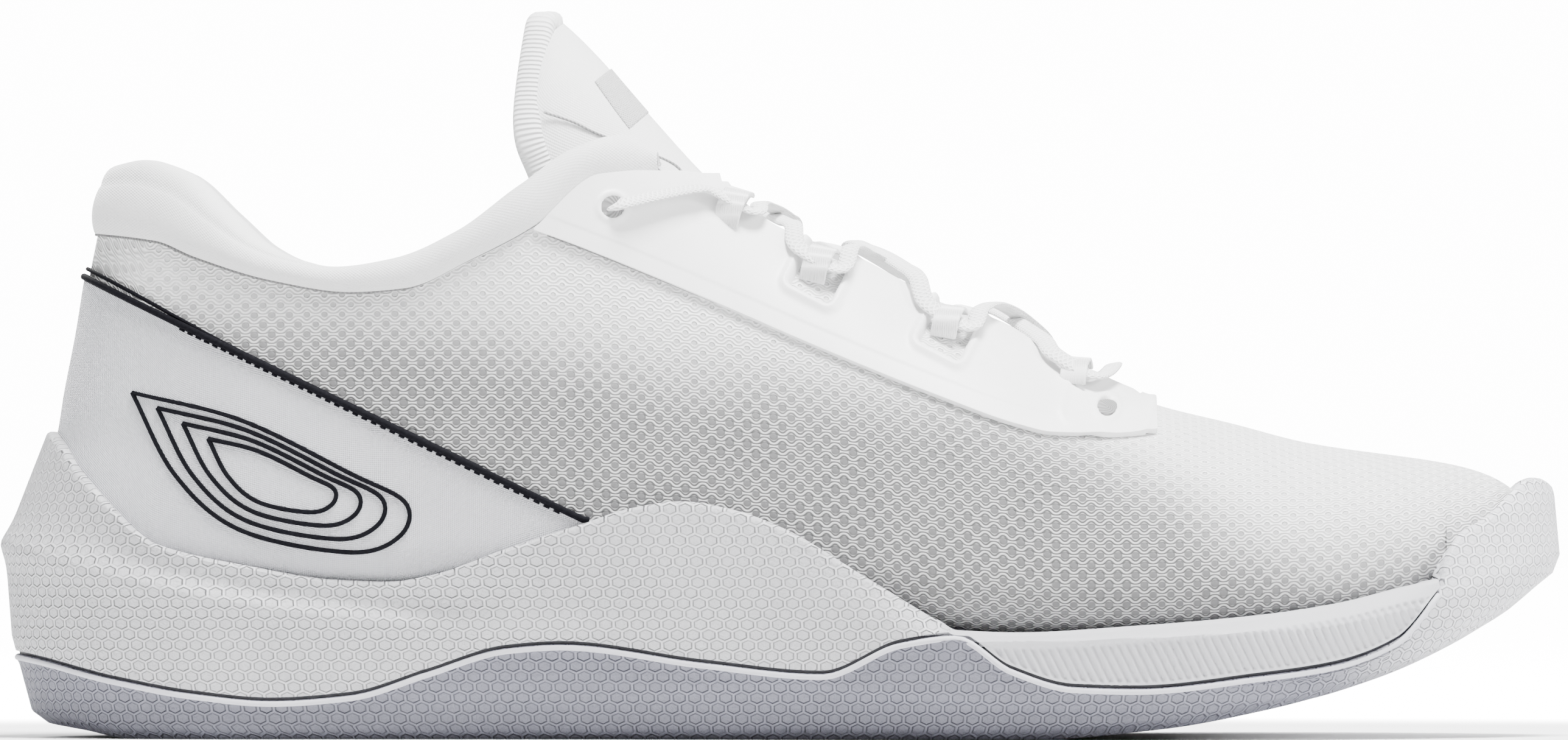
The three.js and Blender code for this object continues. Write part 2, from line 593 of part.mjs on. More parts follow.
// The height of the upper's envelope over a plan place.
function envelopeZ({ x, y }) {
  const out = y - centreline(x);
  const half = out < 0 ? upperHalf.lateral(x) : upperHalf.medial(x);
  const middle = girthLine(x);
  return middle + (topLine(x) - middle) * Math.sqrt(Math.max(1 - (out / half) ** 2, 0));
}

const laceLift = laceRadius + 3 * gap;
// The lace from one end to the other: tail, rear eyelet, up through the loops and down again.
function lacePoints() {
  const runHalf = loopWidth / 2 + 2.4;
  const stop = (i, side, shift) => onUpper([laceStops[i][0] - shift * Math.cos(throatAngle),
    laceStops[i][1] + shift * Math.sin(throatAngle)], side, laceLift);
  const through = (i, side, shifts) => shifts.map(shift => stop(i, side, shift));
  const slopeLift = 1.4 * laceLift;
  const crossing = (from, to, height) => [0.13, 0.3, 0.5, 0.7, 0.87].map(t => {
    const p = from.clone().lerp(to, t);
    const arch = 1 - (2 * t - 1) ** 2;
    p.z = Math.min(envelopeZ(p), throatLine(p.x)) + slopeLift + height * arch;
    return p;
  });
  const halfLace = (start, height) => {
    let side = start;
    const points = through(0, side, [-runHalf, runHalf]);
    for (let i = 1; i < laceStops.length; i += 1) {
      const next = through(i, -side, [-runHalf, runHalf]);
      points.push(...crossing(points.at(-1), next[0], height), ...next);
      side = -side;
    }
    const inside = -cavityInset - laceRadius - 2 * gap;
    const rear = [[126, 98, laceLift], [117, 97.6, laceLift], [112.6, 96.9, laceRadius], [111.6, 96.7, -2],
      [111.8, 96, inside + 1.5], [113.6, 92.4, inside - 1.8], [117, 87, inside - 1.2], [126, 76, inside - 0.4], [140, 66, inside - 0.4],
      [156, 58, inside - 0.4], [172, 52, inside - 0.4], [184, 48, inside - 0.4]];
    return [...points, ...rear.map(([x, z, lift]) => onUpper([x, z], side, lift))];
  };
  const bar = new THREE.Vector3(203 * gradeX, centreline(203 * gradeX), topLine(203 * gradeX) + laceLift + 0.4);
  return [...halfLace(-1, 0.4).reverse(), bar, ...halfLace(1, 0.4 + 2 * laceRadius + gap)];
}

// A webbing loop: an arch over the lace, standing on the eyestay with its tunnel along the throat edge.
function makeLoop(centre, side) {
  const clear = laceLift + laceRadius;
  const span = 11.5;
  const splay = 0.9;
  const outer = [[-span / 2, 0], [-span / 2 + splay, clear + loopThick], [span / 2 - splay, clear + loopThick],
    [span / 2, 0]];
  const inner = [[span / 2 - loopThick, 0], [span / 2 - splay - loopThick, clear],
    [-span / 2 + splay + loopThick, clear], [-span / 2 + loopThick, 0]];
  const shape = new THREE.Shape([...outer, ...inner].map(([x, y]) => new THREE.Vector2(x, y)));
  const geometry = new THREE.ExtrudeGeometry(shape, { depth: loopWidth, bevelEnabled: false });
  geometry.translate(0, 0, -loopWidth / 2);
  const base = onUpper(centre, side, 5 * gap);
  const out = onUpper(centre, side, 5).sub(base).normalize();
  const ahead = new THREE.Vector3(Math.cos(throatAngle), 0, -Math.sin(throatAngle));
  ahead.addScaledVector(out, -ahead.dot(out)).normalize();
  const across = new THREE.Vector3().crossVectors(out, ahead);
  const placing = new THREE.Matrix4().makeBasis(across, out, ahead).setPosition(base);
  return { geometry, placing };
}

// ---------------------------------------------------------------- assembly

const white = (shade, roughness) => new THREE.MeshStandardMaterial({
  color: new THREE.Color(shade, shade, shade), roughness, metalness: 0 });
const black = () => new THREE.MeshStandardMaterial({ color: new THREE.Color(0.02, 0.02, 0.03), roughness: 0.5 });

const shoe = new THREE.Group();
const pieces = new THREE.Group();
pieces.position.set(-shoeLength / 2, 0, 0);
shoe.add(pieces);

function addPiece(name, shape, material) {
  const geometry = shape.isBufferGeometry ? shape : toGeometry(shape);
  const mesh = new THREE.Mesh(geometry, material);
  mesh.name = name;
  pieces.add(mesh);
  return mesh;
}

const clip = makeClip();
addPiece('outsole', makeOutsole(), white(0.6, 0.6));
addPiece('midsole', makeMidsole(clip), white(0.75, 0.7));
addPiece('heel_clip', clip, white(0.72, 0.5));
addPiece('strobel_board', makeBoard(), white(0.8, 0.9));
addPiece('sockliner', makeSockliner(), white(0.7, 0.9));
addPiece('mesh_upper', makeMeshUpper(), white(0.8, 0.9));
addPiece('upper_lining', makeLining(), white(0.7, 0.9));
addPiece('heel_counter', makeStiffener(counterRegion), white(0.6, 0.6));
addPiece('toe_puff', makeStiffener(puffRegion), white(0.6, 0.6));
addPiece('heel_panel', makeHeelPanel(), white(0.68, 0.6));
addPiece('heel_piping', makeHeelPiping(), black());
addPiece('collar_foam', makeCollarFoam(), white(0.8, 1));
addPiece('collar_cover', makeCollarCover(), white(0.85, 0.9));

const tipStart = 0.03;
const foamDepth = tongueCloth + tongueGap;
const liningDepth = foamDepth + tonguePad + tongueGap;
addPiece('tongue_cover', tongueSheet(0, tongueCloth, [0, 1], 1), white(0.85, 0.9));
addPiece('tongue_foam', tongueSheet(foamDepth, foamDepth + tonguePad, [tipStart, 1 - tipStart], 0.95), white(0.8, 1));
addPiece('tongue_lining', tongueSheet(liningDepth, liningDepth + tongueCloth, [0, 1], 1), white(0.85, 0.9));
addPiece('tongue_binding', makeTongueBinding(), white(0.85, 0.9));
addPiece('tongue_label', tongueSheet(-gap - 0.6, -gap, [0.78, 0.92], 0.3, 4, 4), white(0.6, 0.8));

for (const [side, name, half] of [[-1, 'lateral', lateralHalf], [1, 'medial', medialHalf]]) {
  addPiece(`eyestay_${name}`, makeEyestay(half), white(0.88, 0.4));
  addPiece(`heel_trim_${name}`, makeHeelTrim(half), black());
  laceStops.forEach((centre, i) => {
    const { geometry, placing } = makeLoop(centre, side);
    addPiece(`lace_loop_${name}_${i + 1}`, geometry, white(0.85, 0.8)).applyMatrix4(placing);
  });
}

addPiece('lace', tubeAlong(lacePoints(), laceRadius, 130, 8), white(0.88, 0.9));

export default shoe;
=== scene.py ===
"""The looks of a low-top training shoe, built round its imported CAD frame.

Shapes are worked out in millimetres from the heel's rearmost point, with +X to the toe, and are
moved into the frame when a mesh is made. The outlines follow those of the CAD source.
"""

import math

import bpy
import numpy as np
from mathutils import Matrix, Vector


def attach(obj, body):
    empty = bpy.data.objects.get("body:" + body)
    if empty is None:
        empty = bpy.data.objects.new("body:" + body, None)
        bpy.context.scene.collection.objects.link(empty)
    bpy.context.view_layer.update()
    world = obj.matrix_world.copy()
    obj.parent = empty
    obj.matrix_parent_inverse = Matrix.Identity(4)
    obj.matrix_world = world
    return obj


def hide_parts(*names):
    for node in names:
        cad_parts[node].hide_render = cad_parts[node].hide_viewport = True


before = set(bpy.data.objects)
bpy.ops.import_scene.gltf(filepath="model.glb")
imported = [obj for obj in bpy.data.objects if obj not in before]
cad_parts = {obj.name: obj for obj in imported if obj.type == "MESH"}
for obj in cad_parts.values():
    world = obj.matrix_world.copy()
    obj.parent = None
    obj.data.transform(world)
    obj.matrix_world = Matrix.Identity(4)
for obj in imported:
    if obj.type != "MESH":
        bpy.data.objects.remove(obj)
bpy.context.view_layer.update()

MM = 0.001
LENGTH = 285.0
HALF_TURN = math.pi
FULL_TURN = 2 * math.pi
SIDES = (-1, 1)
SIDE_WORDS = {-1: "lateral", 1: "medial"}
MIRRORED = [False, True]


# ---------------------------------------------------------------- camera, light and floor

# Each soft box: its name, place, size in metres and power in watts.
SOFT_BOXES = [
    ("top_light", (0.15, -0.25, 1.1), 0.4, 58),
    ("front_light", (-0.7, -1.2, 0.8), 0.6, 8),
    ("toe_light", (1.1, -0.3, 0.5), 0.4, 16),
    ("back_light", (-0.4, 1.2, 0.8), 0.6, 22),
]
SHOE_MIDDLE = (0, 0, 0.06)
WORLD_STRENGTH = 0.62
GLOW = 14


def make_camera():
    """A long lens level with the shoe's middle, square to its outer side."""
    view_width = 0.2858
    distance = 4.4
    near_side = 0.02
    centre = Vector((0.0002, 0, 0.0671))
    data = bpy.data.cameras.new("camera")
    data.sensor_width = 36
    data.lens = data.sensor_width * (distance - near_side) / view_width
    data.clip_end = 30
    camera = bpy.data.objects.new("camera", data)
    camera.location = centre + Vector((0, -distance, 0))
    camera.rotation_euler = (math.radians(90), 0, 0)
    bpy.context.scene.collection.objects.link(camera)
    bpy.context.scene.camera = camera


def make_soft_box(name, place, size, power):
    """A square area light aimed at the shoe."""
    data = bpy.data.lights.new(name, "AREA")
    data.size = size
    data.energy = power
    light = bpy.data.objects.new(name, data)
    light.location = place
    light.rotation_euler = (Vector(SHOE_MIDDLE) - Vector(place)).to_track_quat("-Z", "Y").to_euler()
    bpy.context.scene.collection.objects.link(light)


def make_studio():
    """An even world, soft boxes all round, a pale floor and a glowing white backdrop round it."""
    world = bpy.data.worlds.new("studio")
    world.use_nodes = True
    background = world.node_tree.nodes["Background"]
    background.inputs["Color"].default_value = (1, 1, 1, 1)
    background.inputs["Strength"].default_value = WORLD_STRENGTH
    bpy.context.scene.world = world
    for box in SOFT_BOXES:
        make_soft_box(*box)
    make_stage_floor("studio_floor", (0, -0.22, 0), 0.5)
    glow = glow_material("backdrop_glow")
    make_stage_plane("studio_backdrop", (0, 12, 0.3), 90, 2.0, glow)
    surround = make_stage_plane("studio_surround", (0, 0, -0.002), 0, 8.0, glow)
    surround.visible_diffuse = False
    surround.visible_glossy = False


def make_stage_plane(name, place, tilt, size, material):
    """A square plane that isn't part of the shoe."""
    bpy.ops.mesh.primitive_plane_add(size=size, location=place, rotation=(math.radians(tilt), 0, 0))
    plane = bpy.context.object
    plane.name = name
    plane.data.materials.append(material)
    return plane


def make_stage_floor(name, place, radius):
    """A round floor of pale paper whose rim brightens into the backdrop's white."""
    bpy.ops.mesh.primitive_circle_add(vertices=96, radius=radius, fill_type="NGON", location=place)
    floor = bpy.context.object
    floor.name = name
    n = Nodes("floor_paper", 0.9)
    where = n.tree.nodes.new("ShaderNodeTexCoord")
    reach = n.tree.nodes.new("ShaderNodeVectorMath")
    reach.operation = "LENGTH"
    n.tree.links.new(where.outputs["Object"], reach.inputs[0])
    rim = n.ramp(reach.outputs["Value"], 0.7 * radius, radius)
    n.put(n.shader.inputs["Emission Strength"], n.times(n.times(rim, rim), GLOW))
    n.shader.inputs["Emission Color"].default_value = (1, 1, 1, 1)
    floor.data.materials.append(n.finish((0.93, 0.93, 0.93)))


def glow_material(name):
    """An even white glow, for the backdrop."""
    material = bpy.data.materials.new(name)
    material.use_nodes = True
    shader = material.node_tree.nodes["Principled BSDF"]
    shader.inputs["Emission Color"].default_value = (1, 1, 1, 1)
    shader.inputs["Emission Strength"].default_value = GLOW
    return material


# ---------------------------------------------------------------- curves

def curve(points):
    """A monotone cubic curve through points, which keeps its end values beyond them."""
    px, py = np.array(points, float).T
    step = np.diff(px)
    slope = np.diff(py) / step
    tangent = np.zeros_like(px)
    tangent[0], tangent[-1] = slope[0], slope[-1]
    product = slope[:-1] * slope[1:]
    total = slope[:-1] + slope[1:]
    same_sign = product > 0
    tangent[1:-1][same_sign] = 2 * product[same_sign] / total[same_sign]

    def value(x):
        x = np.clip(np.asarray(x, float), px[0], px[-1])
        i = np.clip(np.searchsorted(px, x, "right") - 1, 0, len(px) - 2)
        h = step[i]
        t = (x - px[i]) / h
        ease = t * t * (3 - 2 * t)
        return (py[i] + (py[i + 1] - py[i]) * ease
                + h * t * (1 - t) * ((1 - t) * tangent[i] - t * tangent[i + 1]))
    return value


def plan_angle(x):
    """An angle that runs from 0 at the heel to a half turn at the toe, and fast at both round ends."""
    return np.arccos(np.clip(1 - 2 * np.asarray(x, float) / LENGTH, -1, 1))


def half_width(points):
    """A half outline in plan, through places along the shoe and their widths."""
    over_angle = curve([(float(plan_angle(x)), y) for x, y in points])
    return lambda x: over_angle(plan_angle(x))


def smooth_step(t):
    """A smooth rise from 0 to 1 as t goes from 0 to 1."""
    t = np.clip(t, 0, 1)
    return t * t * (3 - 2 * t)


# Outlines of the sole: the centreline and half widths in plan, then lines in side view.
centreline = curve([(0, 0), (110, -1), (200, 0), (250, 3), (285, 8)])
sole_half = {
    -1: half_width([(0, 0), (8, 20), (20, 29.5), (40, 35.5), (75, 36), (110, 38), (150, 45),
                    (185, 50.5), (215, 50.5), (240, 45.5), (262, 34), (275, 22.5), (285, 0)]),
    1: half_width([(0, 0), (8, 20), (20, 29.5), (40, 35.5), (75, 35), (110, 34), (140, 37),
                   (170, 44), (200, 50.5), (220, 51.5), (245, 46), (265, 32.5), (277, 19.5), (285, 0)]),
}
ground_line = curve([(0, 2.6), (8, 1.5), (18, 0), (188, 0), (214, 1.9), (235, 5.4), (257, 11.2),
                     (271, 16.6), (280, 21.2), (285, 25)])
crest_line = curve([(0, 35.5), (28, 28), (61, 22.6), (99, 19.7), (174, 18), (235, 20),
                    (262, 25), (275, 30), (285, 33.3)])
PARTING = [(-5, 16), (1.9, 15.5), (20.7, 11.2), (35.1, 8.6), (49.4, 7.3), (63.7, 8.3), (78, 12.6),
           (92.3, 16.9), (102.3, 17.6), (128, 14.3), (149.5, 12.3), (163.8, 18), (173.8, 19.3),
           (183.8, 13.3), (195.3, 10), (206.7, 9.7), (228.2, 11.9), (242.5, 14), (254, 18.3), (262.3, 27.6)]
BUMPER = [(264, 34.1), (266.8, 38.1), (271.1, 40.5), (276.9, 45.5), (279, 47.2), (281, 47.8),
          (283.2, 46.9), (285, 44.5)]
CLIP_TOP = [(5, 58), (8.6, 54.8), (13.6, 48.4), (20.7, 41.2), (27.9, 35.5), (45.1, 31.5), (60.8, 29),
            (70.8, 28.6), (79.4, 30), (90.9, 34.1), (106.6, 39.3), (115, 42), (123.8, 43.2), (132.3, 41.9),
            (142.4, 38.3), (156.7, 29.8), (171, 21.2), (173.8, 19.7)]
STRAKE_TOP = [(185.3, 19.3), (206.7, 20.5), (228.2, 22.3), (242.5, 24.3), (256.8, 27.6)]
parting_line = curve(PARTING)
outsole_top = curve(PARTING + BUMPER)
wall_top = curve(CLIP_TOP + STRAKE_TOP + [(262.3, 29)] + BUMPER)

# Outlines of the upper: how far the heel's back leans in at each height, then lines along the shoe.
heel_back = curve([(18, 5.5), (30, 3.4), (38, 3.4), (48, 6.5), (55, 9.4), (62.7, 10.7), (74.1, 12.9),
                   (84.6, 14.6), (92.7, 16.2), (98.4, 17.2), (150, 26), (200, 32)])
feather_line = curve([(0, 23), (60, 22), (120, 19), (180, 13.5), (215, 13), (245, 16), (270, 22),
                      (285, 27)])
girth_line = curve([(0, 38), (90, 38), (150, 35), (200, 30), (240, 31), (270, 34), (285, 36)])
top_line = curve([(0, 190), (92, 190), (104, 163), (113, 141), (120, 127), (130, 113), (142, 101.8),
                  (155, 94.3), (168, 86), (185, 77.3), (195, 70.9), (205, 65.4), (214, 62), (228, 58.6),
                  (242.5, 55), (264, 52), (275.4, 50.2), (285, 49)])
upper_half = {
    -1: half_width([(0, 0), (8, 18), (20, 27), (40, 34.5), (75, 37.5), (95, 39), (120, 39.5), (150, 43),
                    (185, 47), (215, 46.5), (240, 41.5), (262, 30.5), (275, 19), (285, 0)]),
    1: half_width([(0, 0), (8, 18), (20, 27), (40, 34.5), (75, 37), (95, 38), (120, 38), (150, 40),
                   (185, 45.5), (215, 47.5), (240, 42.5), (262, 31), (275, 18.5), (285, 0)]),
}
UPPER_FRONT = 3.0
TOE_ROUND_START = 262.0
HEEL_LEAN_REACH = 110.0
BOXINESS = 0.72

# Lines on the upper in side view.
THROAT = [(132.5, 101.5), (135.5, 97.7), (142.4, 92.9), (155.2, 88.2), (168.1, 81.5),
          (183.8, 75.3), (192.4, 69.8), (199, 67.2), (205.3, 64.6), (209, 62)]
collar_top = curve([(0, 101), (16, 102), (20.7, 103.4), (27.9, 104.9), (35.1, 102.7), (42.2, 96.3),
                    (49.4, 89.8), (56.5, 86.3), (63.7, 84.8), (73.7, 86.3), (85.1, 91.3), (95.4, 99.9),
                    (105.2, 106.3), (113.7, 108.2), (121.5, 105.2)])
throat_line = curve(THROAT)
seam_line = curve([(5, 93), (27.9, 90.6), (35.1, 87.7), (49.4, 83.4), (63.7, 81.3), (73.7, 82),
                   (85.1, 87), (97.3, 93.4), (109.4, 103.4), (121.5, 104)])
collar_foot = curve([(0, 66), (35, 61), (64, 58), (84, 64), (93, 82), (101, 94.5), (109, 102.2),
                     (121, 103)])
piping_line = curve([(-5, 93.6), (106.6, 39.8)])
eyestay_foot = curve([(97.3, 92.6), (104, 90.2), (128, 80.5), (149.5, 71.2), (171, 62.5), (185.3, 57.4),
                      (191.7, 56.0), (202.5, 55.8), (213, 56.9)])
eyestay_rear = curve([(97.3, 93.0), (109.4, 102.8), (121, 103.6), (128, 103)])

# Insets from the outer envelope of the upper, as in the CAD layers.
MESH_INSET = 1.3
CAVITY_INSET = 5.8
collar_pad = curve([(0, 5.6), (78, 5.6), (100, 1.6), (285, 1.6)])


# ---------------------------------------------------------------- the shoe's surfaces

def upper_at(s, turn, inset, side):
    """Points of the upper's section at plan station s: turn runs from -90 (bottom) to 90 degrees (top)."""
    rear, front = inset, UPPER_FRONT + inset
    along = rear + s * (LENGTH - rear - front) / LENGTH
    cosine, sine = np.cos(turn), np.sin(turn)
    reach = np.maximum(upper_half[side](s) - inset * np.sin(plan_angle(s)), 0)
    toward = np.clip((s - TOE_ROUND_START) / (LENGTH - TOE_ROUND_START), 0, 1)
    middle = girth_line(s)
    top = (top_line(s) - inset - middle) * np.sqrt(1 - toward ** 4)
    bottom = (middle - feather_line(s) - inset) * np.sqrt(1 - toward ** 6)
    flat = np.where(sine < 0, BOXINESS, 1.0)
    z = middle + np.where(sine < 0, bottom, top) * np.sign(sine) * np.abs(sine) ** flat
    y = centreline(s) + side * reach * np.abs(cosine) ** flat
    lean = np.maximum(1 - along / HEEL_LEAN_REACH, 0) ** 1.5
    return along + heel_back(z) * lean, y, z


def turn_at(s, line, inset, side):
    """The turn at which each station's section meets a side-view line, by halving."""
    low = np.full(np.shape(s), -HALF_TURN / 2)
    high = np.full(np.shape(s), HALF_TURN / 2)
    for _ in range(26):
        mid = (low + high) / 2
        x, _, z = upper_at(s, mid, inset, side)
        under = z < line(x)
        low, high = np.where(under, mid, low), np.where(under, high, mid)
    return (low + high) / 2


def upper_on_line(s, line, inset, side):
    """The points where the sections of the upper meet a side-view line."""
    return np.stack(upper_at(s, turn_at(s, line, inset, side), inset, side), -1)


WALL_PROUD = 2.0
CUP_RINGS = (11, 24)


def ring_profile(s):
    """Heights and insets of the sole's wall up to its crest, per station, from the ground."""
    base = ground_line(s)
    crest = crest_line(s)
    low_inset = curve([(0, 8), (40, 6), (150, 6.5), (240, 7), (285, 9)])(s)
    next_inset = curve([(0, 5), (40, 3.4), (150, 3.6), (240, 3.8), (285, 5)])(s)
    heights = np.stack([base, base + 2.2, base + 2.2 + 0.45 * (crest - base - 2.2), crest])
    insets = np.stack([low_inset, next_inset, np.full_like(s, 1.3), np.zeros_like(s)])
    return heights, insets


def sole_at(s, z, side):
    """Points of the sole's wall below its crest."""
    heights, insets = ring_profile(s)
    inset = np.zeros_like(z)
    for column in range(len(s)):
        inset[column] = np.interp(z[column], heights[:, column], insets[:, column])
    return sole_section(s[:, None], inset, z, side)


def sole_section(station, inset, z, side):
    """Points of the sole's outline drawn in by an inset, at given heights."""
    along = inset + station * (LENGTH - 2 * inset) / LENGTH
    reach = np.maximum(sole_half[side](station) - inset * np.sin(plan_angle(station)), 0)
    return np.stack([along, centreline(station) + side * reach, z + 0 * along], -1)


def wall_at(s, z, side):
    """Points of the sole's whole wall: below the crest its own form, above it leaning on to the upper."""
    crest = crest_line(s)[:, None]
    below = sole_at(s, np.minimum(z, crest), side)
    top_points = upper_on_line(s, wall_top, -WALL_PROUD, side)[:, None, :]
    crest_points = sole_at(s, crest, side)
    span = np.maximum(top_points[..., 2:] - crest_points[..., 2:], 0.05)
    share = (z[..., None] - crest_points[..., 2:]) / span
    hollow = 1.6 - 2.4 * smooth_step((s - 80) / 40)
    bulge = -hollow[:, None, None] * np.sin(HALF_TURN * np.clip(share, 0, 1))
    ridge = 0.8 * (1 - smooth_step((s - 100) / 40))[:, None] * np.exp(-((z - crest) / 3.0) ** 2)
    above = crest_points + (top_points - crest_points) * share
    above[..., 1] += side * bulge[..., 0] * 0.7
    above[..., 2] = z
    over = z - crest
    first, second = cup_insets(s[:, None])
    low, high = CUP_RINGS
    inset = np.where(over < low, first * over / low, first + (second - first) * (over - low) / (high - low))
    cup = sole_section(s[:, None], inset, z, side)
    toe = smooth_step((s - 252) / 12)[:, None, None]
    above = above * (1 - toe) + cup * toe
    wall = np.where((z > crest)[..., None], above, below)
    return wall + plan_outward(s, side)[:, None] * ridge[..., None]


def cup_insets(s):
    """Insets of the toe's cup at its two rings above the crest."""
    first = curve([(0, 3), (150, 2.6), (240, 2.4), (285, 1)])
    second = curve([(0, 11), (150, 8), (240, 9), (285, 5)])
    return first(s), second(s)


def stations(start, end, count):
    """Plan stations between two places, packed closer at the shoe's round ends."""
    angles = np.linspace(float(plan_angle(start)), float(plan_angle(end)), count)
    return LENGTH * (1 - np.cos(angles)) / 2


# ---------------------------------------------------------------- mesh making

WELD = 0.02
SHARP_ANGLE = 50


def arc_uv(grid):
    """Texture places in millimetres: along the shoe, and over the rows from the first."""
    rows = np.linalg.norm(np.diff(grid, axis=1), axis=-1)
    over = np.concatenate([np.zeros((grid.shape[0], 1)), np.cumsum(rows, 1)], 1)
    return np.stack([grid[..., 0], over], -1)


def grid_faces(columns, rows, start):
    """Four-sided faces of a grid whose points are numbered from start, column by column."""
    faces = []
    for i in range(columns - 1):
        for j in range(rows - 1):
            a = start + i * rows + j
            faces.append((a, a + rows, a + rows + 1, a + 1))
    return faces


def make_piece(name, grids, material, body="shoe", thickness=0.0, bevel=0.0, flip=None,
               uvs=None, smooth_angle=SHARP_ANGLE):
    """One mesh from grids of points in millimetres, given a thickness inwards and rounded rims."""
    flip = flip or [False] * len(grids)
    uvs = uvs or [arc_uv(g) for g in grids]
    points, faces, places = [], [], []
    start = 0
    for grid, turned, uv in zip(grids, flip, uvs):
        columns, rows = grid.shape[:2]
        quads = grid_faces(columns, rows, start)
        faces += [tuple(reversed(q)) for q in quads] if turned else quads
        points.append(grid.reshape(-1, 3))
        places.append(uv.reshape(-1, 2))
        start += columns * rows
    points = np.concatenate(points)
    places = np.concatenate(places)
    mesh = bpy.data.meshes.new(name)
    mesh.from_pydata(to_frame(points).tolist(), [], faces)
    layer = mesh.uv_layers.new(name="fabric")
    loops = np.zeros(len(mesh.loops), np.int32)
    mesh.loops.foreach_get("vertex_index", loops)
    layer.data.foreach_set("uv", places[loops].astype(np.float32).ravel())
    piece = bpy.data.objects.new(name, mesh)
    bpy.context.scene.collection.objects.link(piece)
    weld = piece.modifiers.new("weld", "WELD")
    weld.merge_threshold = WELD * MM
    if thickness:
        solid = piece.modifiers.new("solid", "SOLIDIFY")
        solid.thickness = thickness * MM
        solid.offset = -1
        solid.use_even_offset = False
    if bevel:
        rounded = piece.modifiers.new("bevel", "BEVEL")
        rounded.width = bevel * MM
        rounded.segments = 2
        rounded.limit_method = "ANGLE"
        rounded.angle_limit = math.radians(SHARP_ANGLE)
    apply_modifiers(piece)
    finish_piece(piece, material, body, smooth_angle)
    return piece


def to_frame(points):
    """Millimetres from the heel, turned into the frame's metres from the shoe's middle."""
    moved = np.array(points, float)
    moved[..., 0] -= LENGTH / 2
    return moved * MM


def apply_modifiers(piece):
    """Turns a piece's modifiers into its mesh."""
    graph = bpy.context.evaluated_depsgraph_get()
    made = bpy.data.meshes.new_from_object(piece.evaluated_get(graph))
    piece.modifiers.clear()
    piece.data = made


def finish_piece(piece, material, body, smooth_angle):
    """Gives a piece its material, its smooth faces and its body."""
    piece.data.materials.clear()
    piece.data.materials.append(material)
    piece.data.shade_smooth()
    piece.data.set_sharp_from_angle(angle=math.radians(smooth_angle))
    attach(piece, body)


def tube_grid(path, radius, sides, normals, flatten=None):
    """A tube along points; with flatten it is that thin along the normals, with a squarer section."""
    tangent = np.gradient(path, axis=0)
    tangent /= np.linalg.norm(tangent, axis=1)[:, None]
    normals = normals - tangent * np.sum(normals * tangent, 1)[:, None]
    normals /= np.linalg.norm(normals, axis=1)[:, None]
    across = np.cross(tangent, normals)
    turns = np.linspace(0, FULL_TURN, sides + 1)
    thick, wide_power, high_power = (radius, 1.0, 1.0) if flatten is None else (flatten, 0.7, 0.8)
    wide = np.sign(np.cos(turns)) * np.abs(np.cos(turns)) ** wide_power
    high = np.sign(np.sin(turns)) * np.abs(np.sin(turns)) ** high_power
    ring = (across[:, None] * (radius * wide)[None, :, None]
            + normals[:, None] * (thick * high)[None, :, None])
    caps = path[[0, -1], None].repeat(sides + 1, 1)
    closed = np.concatenate([caps[:1], path[:, None] + ring, caps[1:]])
    length = np.concatenate([[0], np.cumsum(np.linalg.norm(np.diff(path, axis=0), axis=1))])
    u = np.concatenate([[0], length, [length[-1]]])
    v = turns / FULL_TURN * 4 * radius
    uv = np.stack(np.broadcast_arrays(u[:, None], v[None, :]), -1)
    return closed, uv


def make_tubes(name, paths, radius, sides, material, body="shoe", flatten=None):
    """One piece of tubes, each given by its path and the normals it lies on."""
    tubes = [tube_grid(path, radius, sides, normals, flatten) for path, normals in paths]
    grids, uvs = zip(*tubes)
    return make_piece(name, grids, material, body=body, uvs=uvs)


def smooth_path(points, count):
    """A Catmull-Rom path through points, evenly stepped."""
    points = np.array(points, float)
    padded = np.concatenate([[2 * points[0] - points[1]], points, [2 * points[-1] - points[-2]]])
    dense = []
    for i in range(len(points) - 1):
        p0, p1, p2, p3 = padded[i:i + 4]
        t = np.linspace(0, 1, 24, endpoint=False)[:, None]
        dense.append(0.5 * ((2 * p1) + (p2 - p0) * t + (2 * p0 - 5 * p1 + 4 * p2 - p3) * t ** 2
                            + (3 * p1 - p0 - 3 * p2 + p3) * t ** 3))
    dense = np.concatenate(dense + [points[-1:]])
    length = np.concatenate([[0], np.cumsum(np.linalg.norm(np.diff(dense, axis=0), axis=1))])
    even = np.linspace(0, length[-1], count)
    return np.stack([np.interp(even, length, dense[:, k]) for k in range(3)], -1)


# ---------------------------------------------------------------- materials

# The sine of 60 degrees, at which a hexagon's sides slant.
HEX_SLANT = 0.866


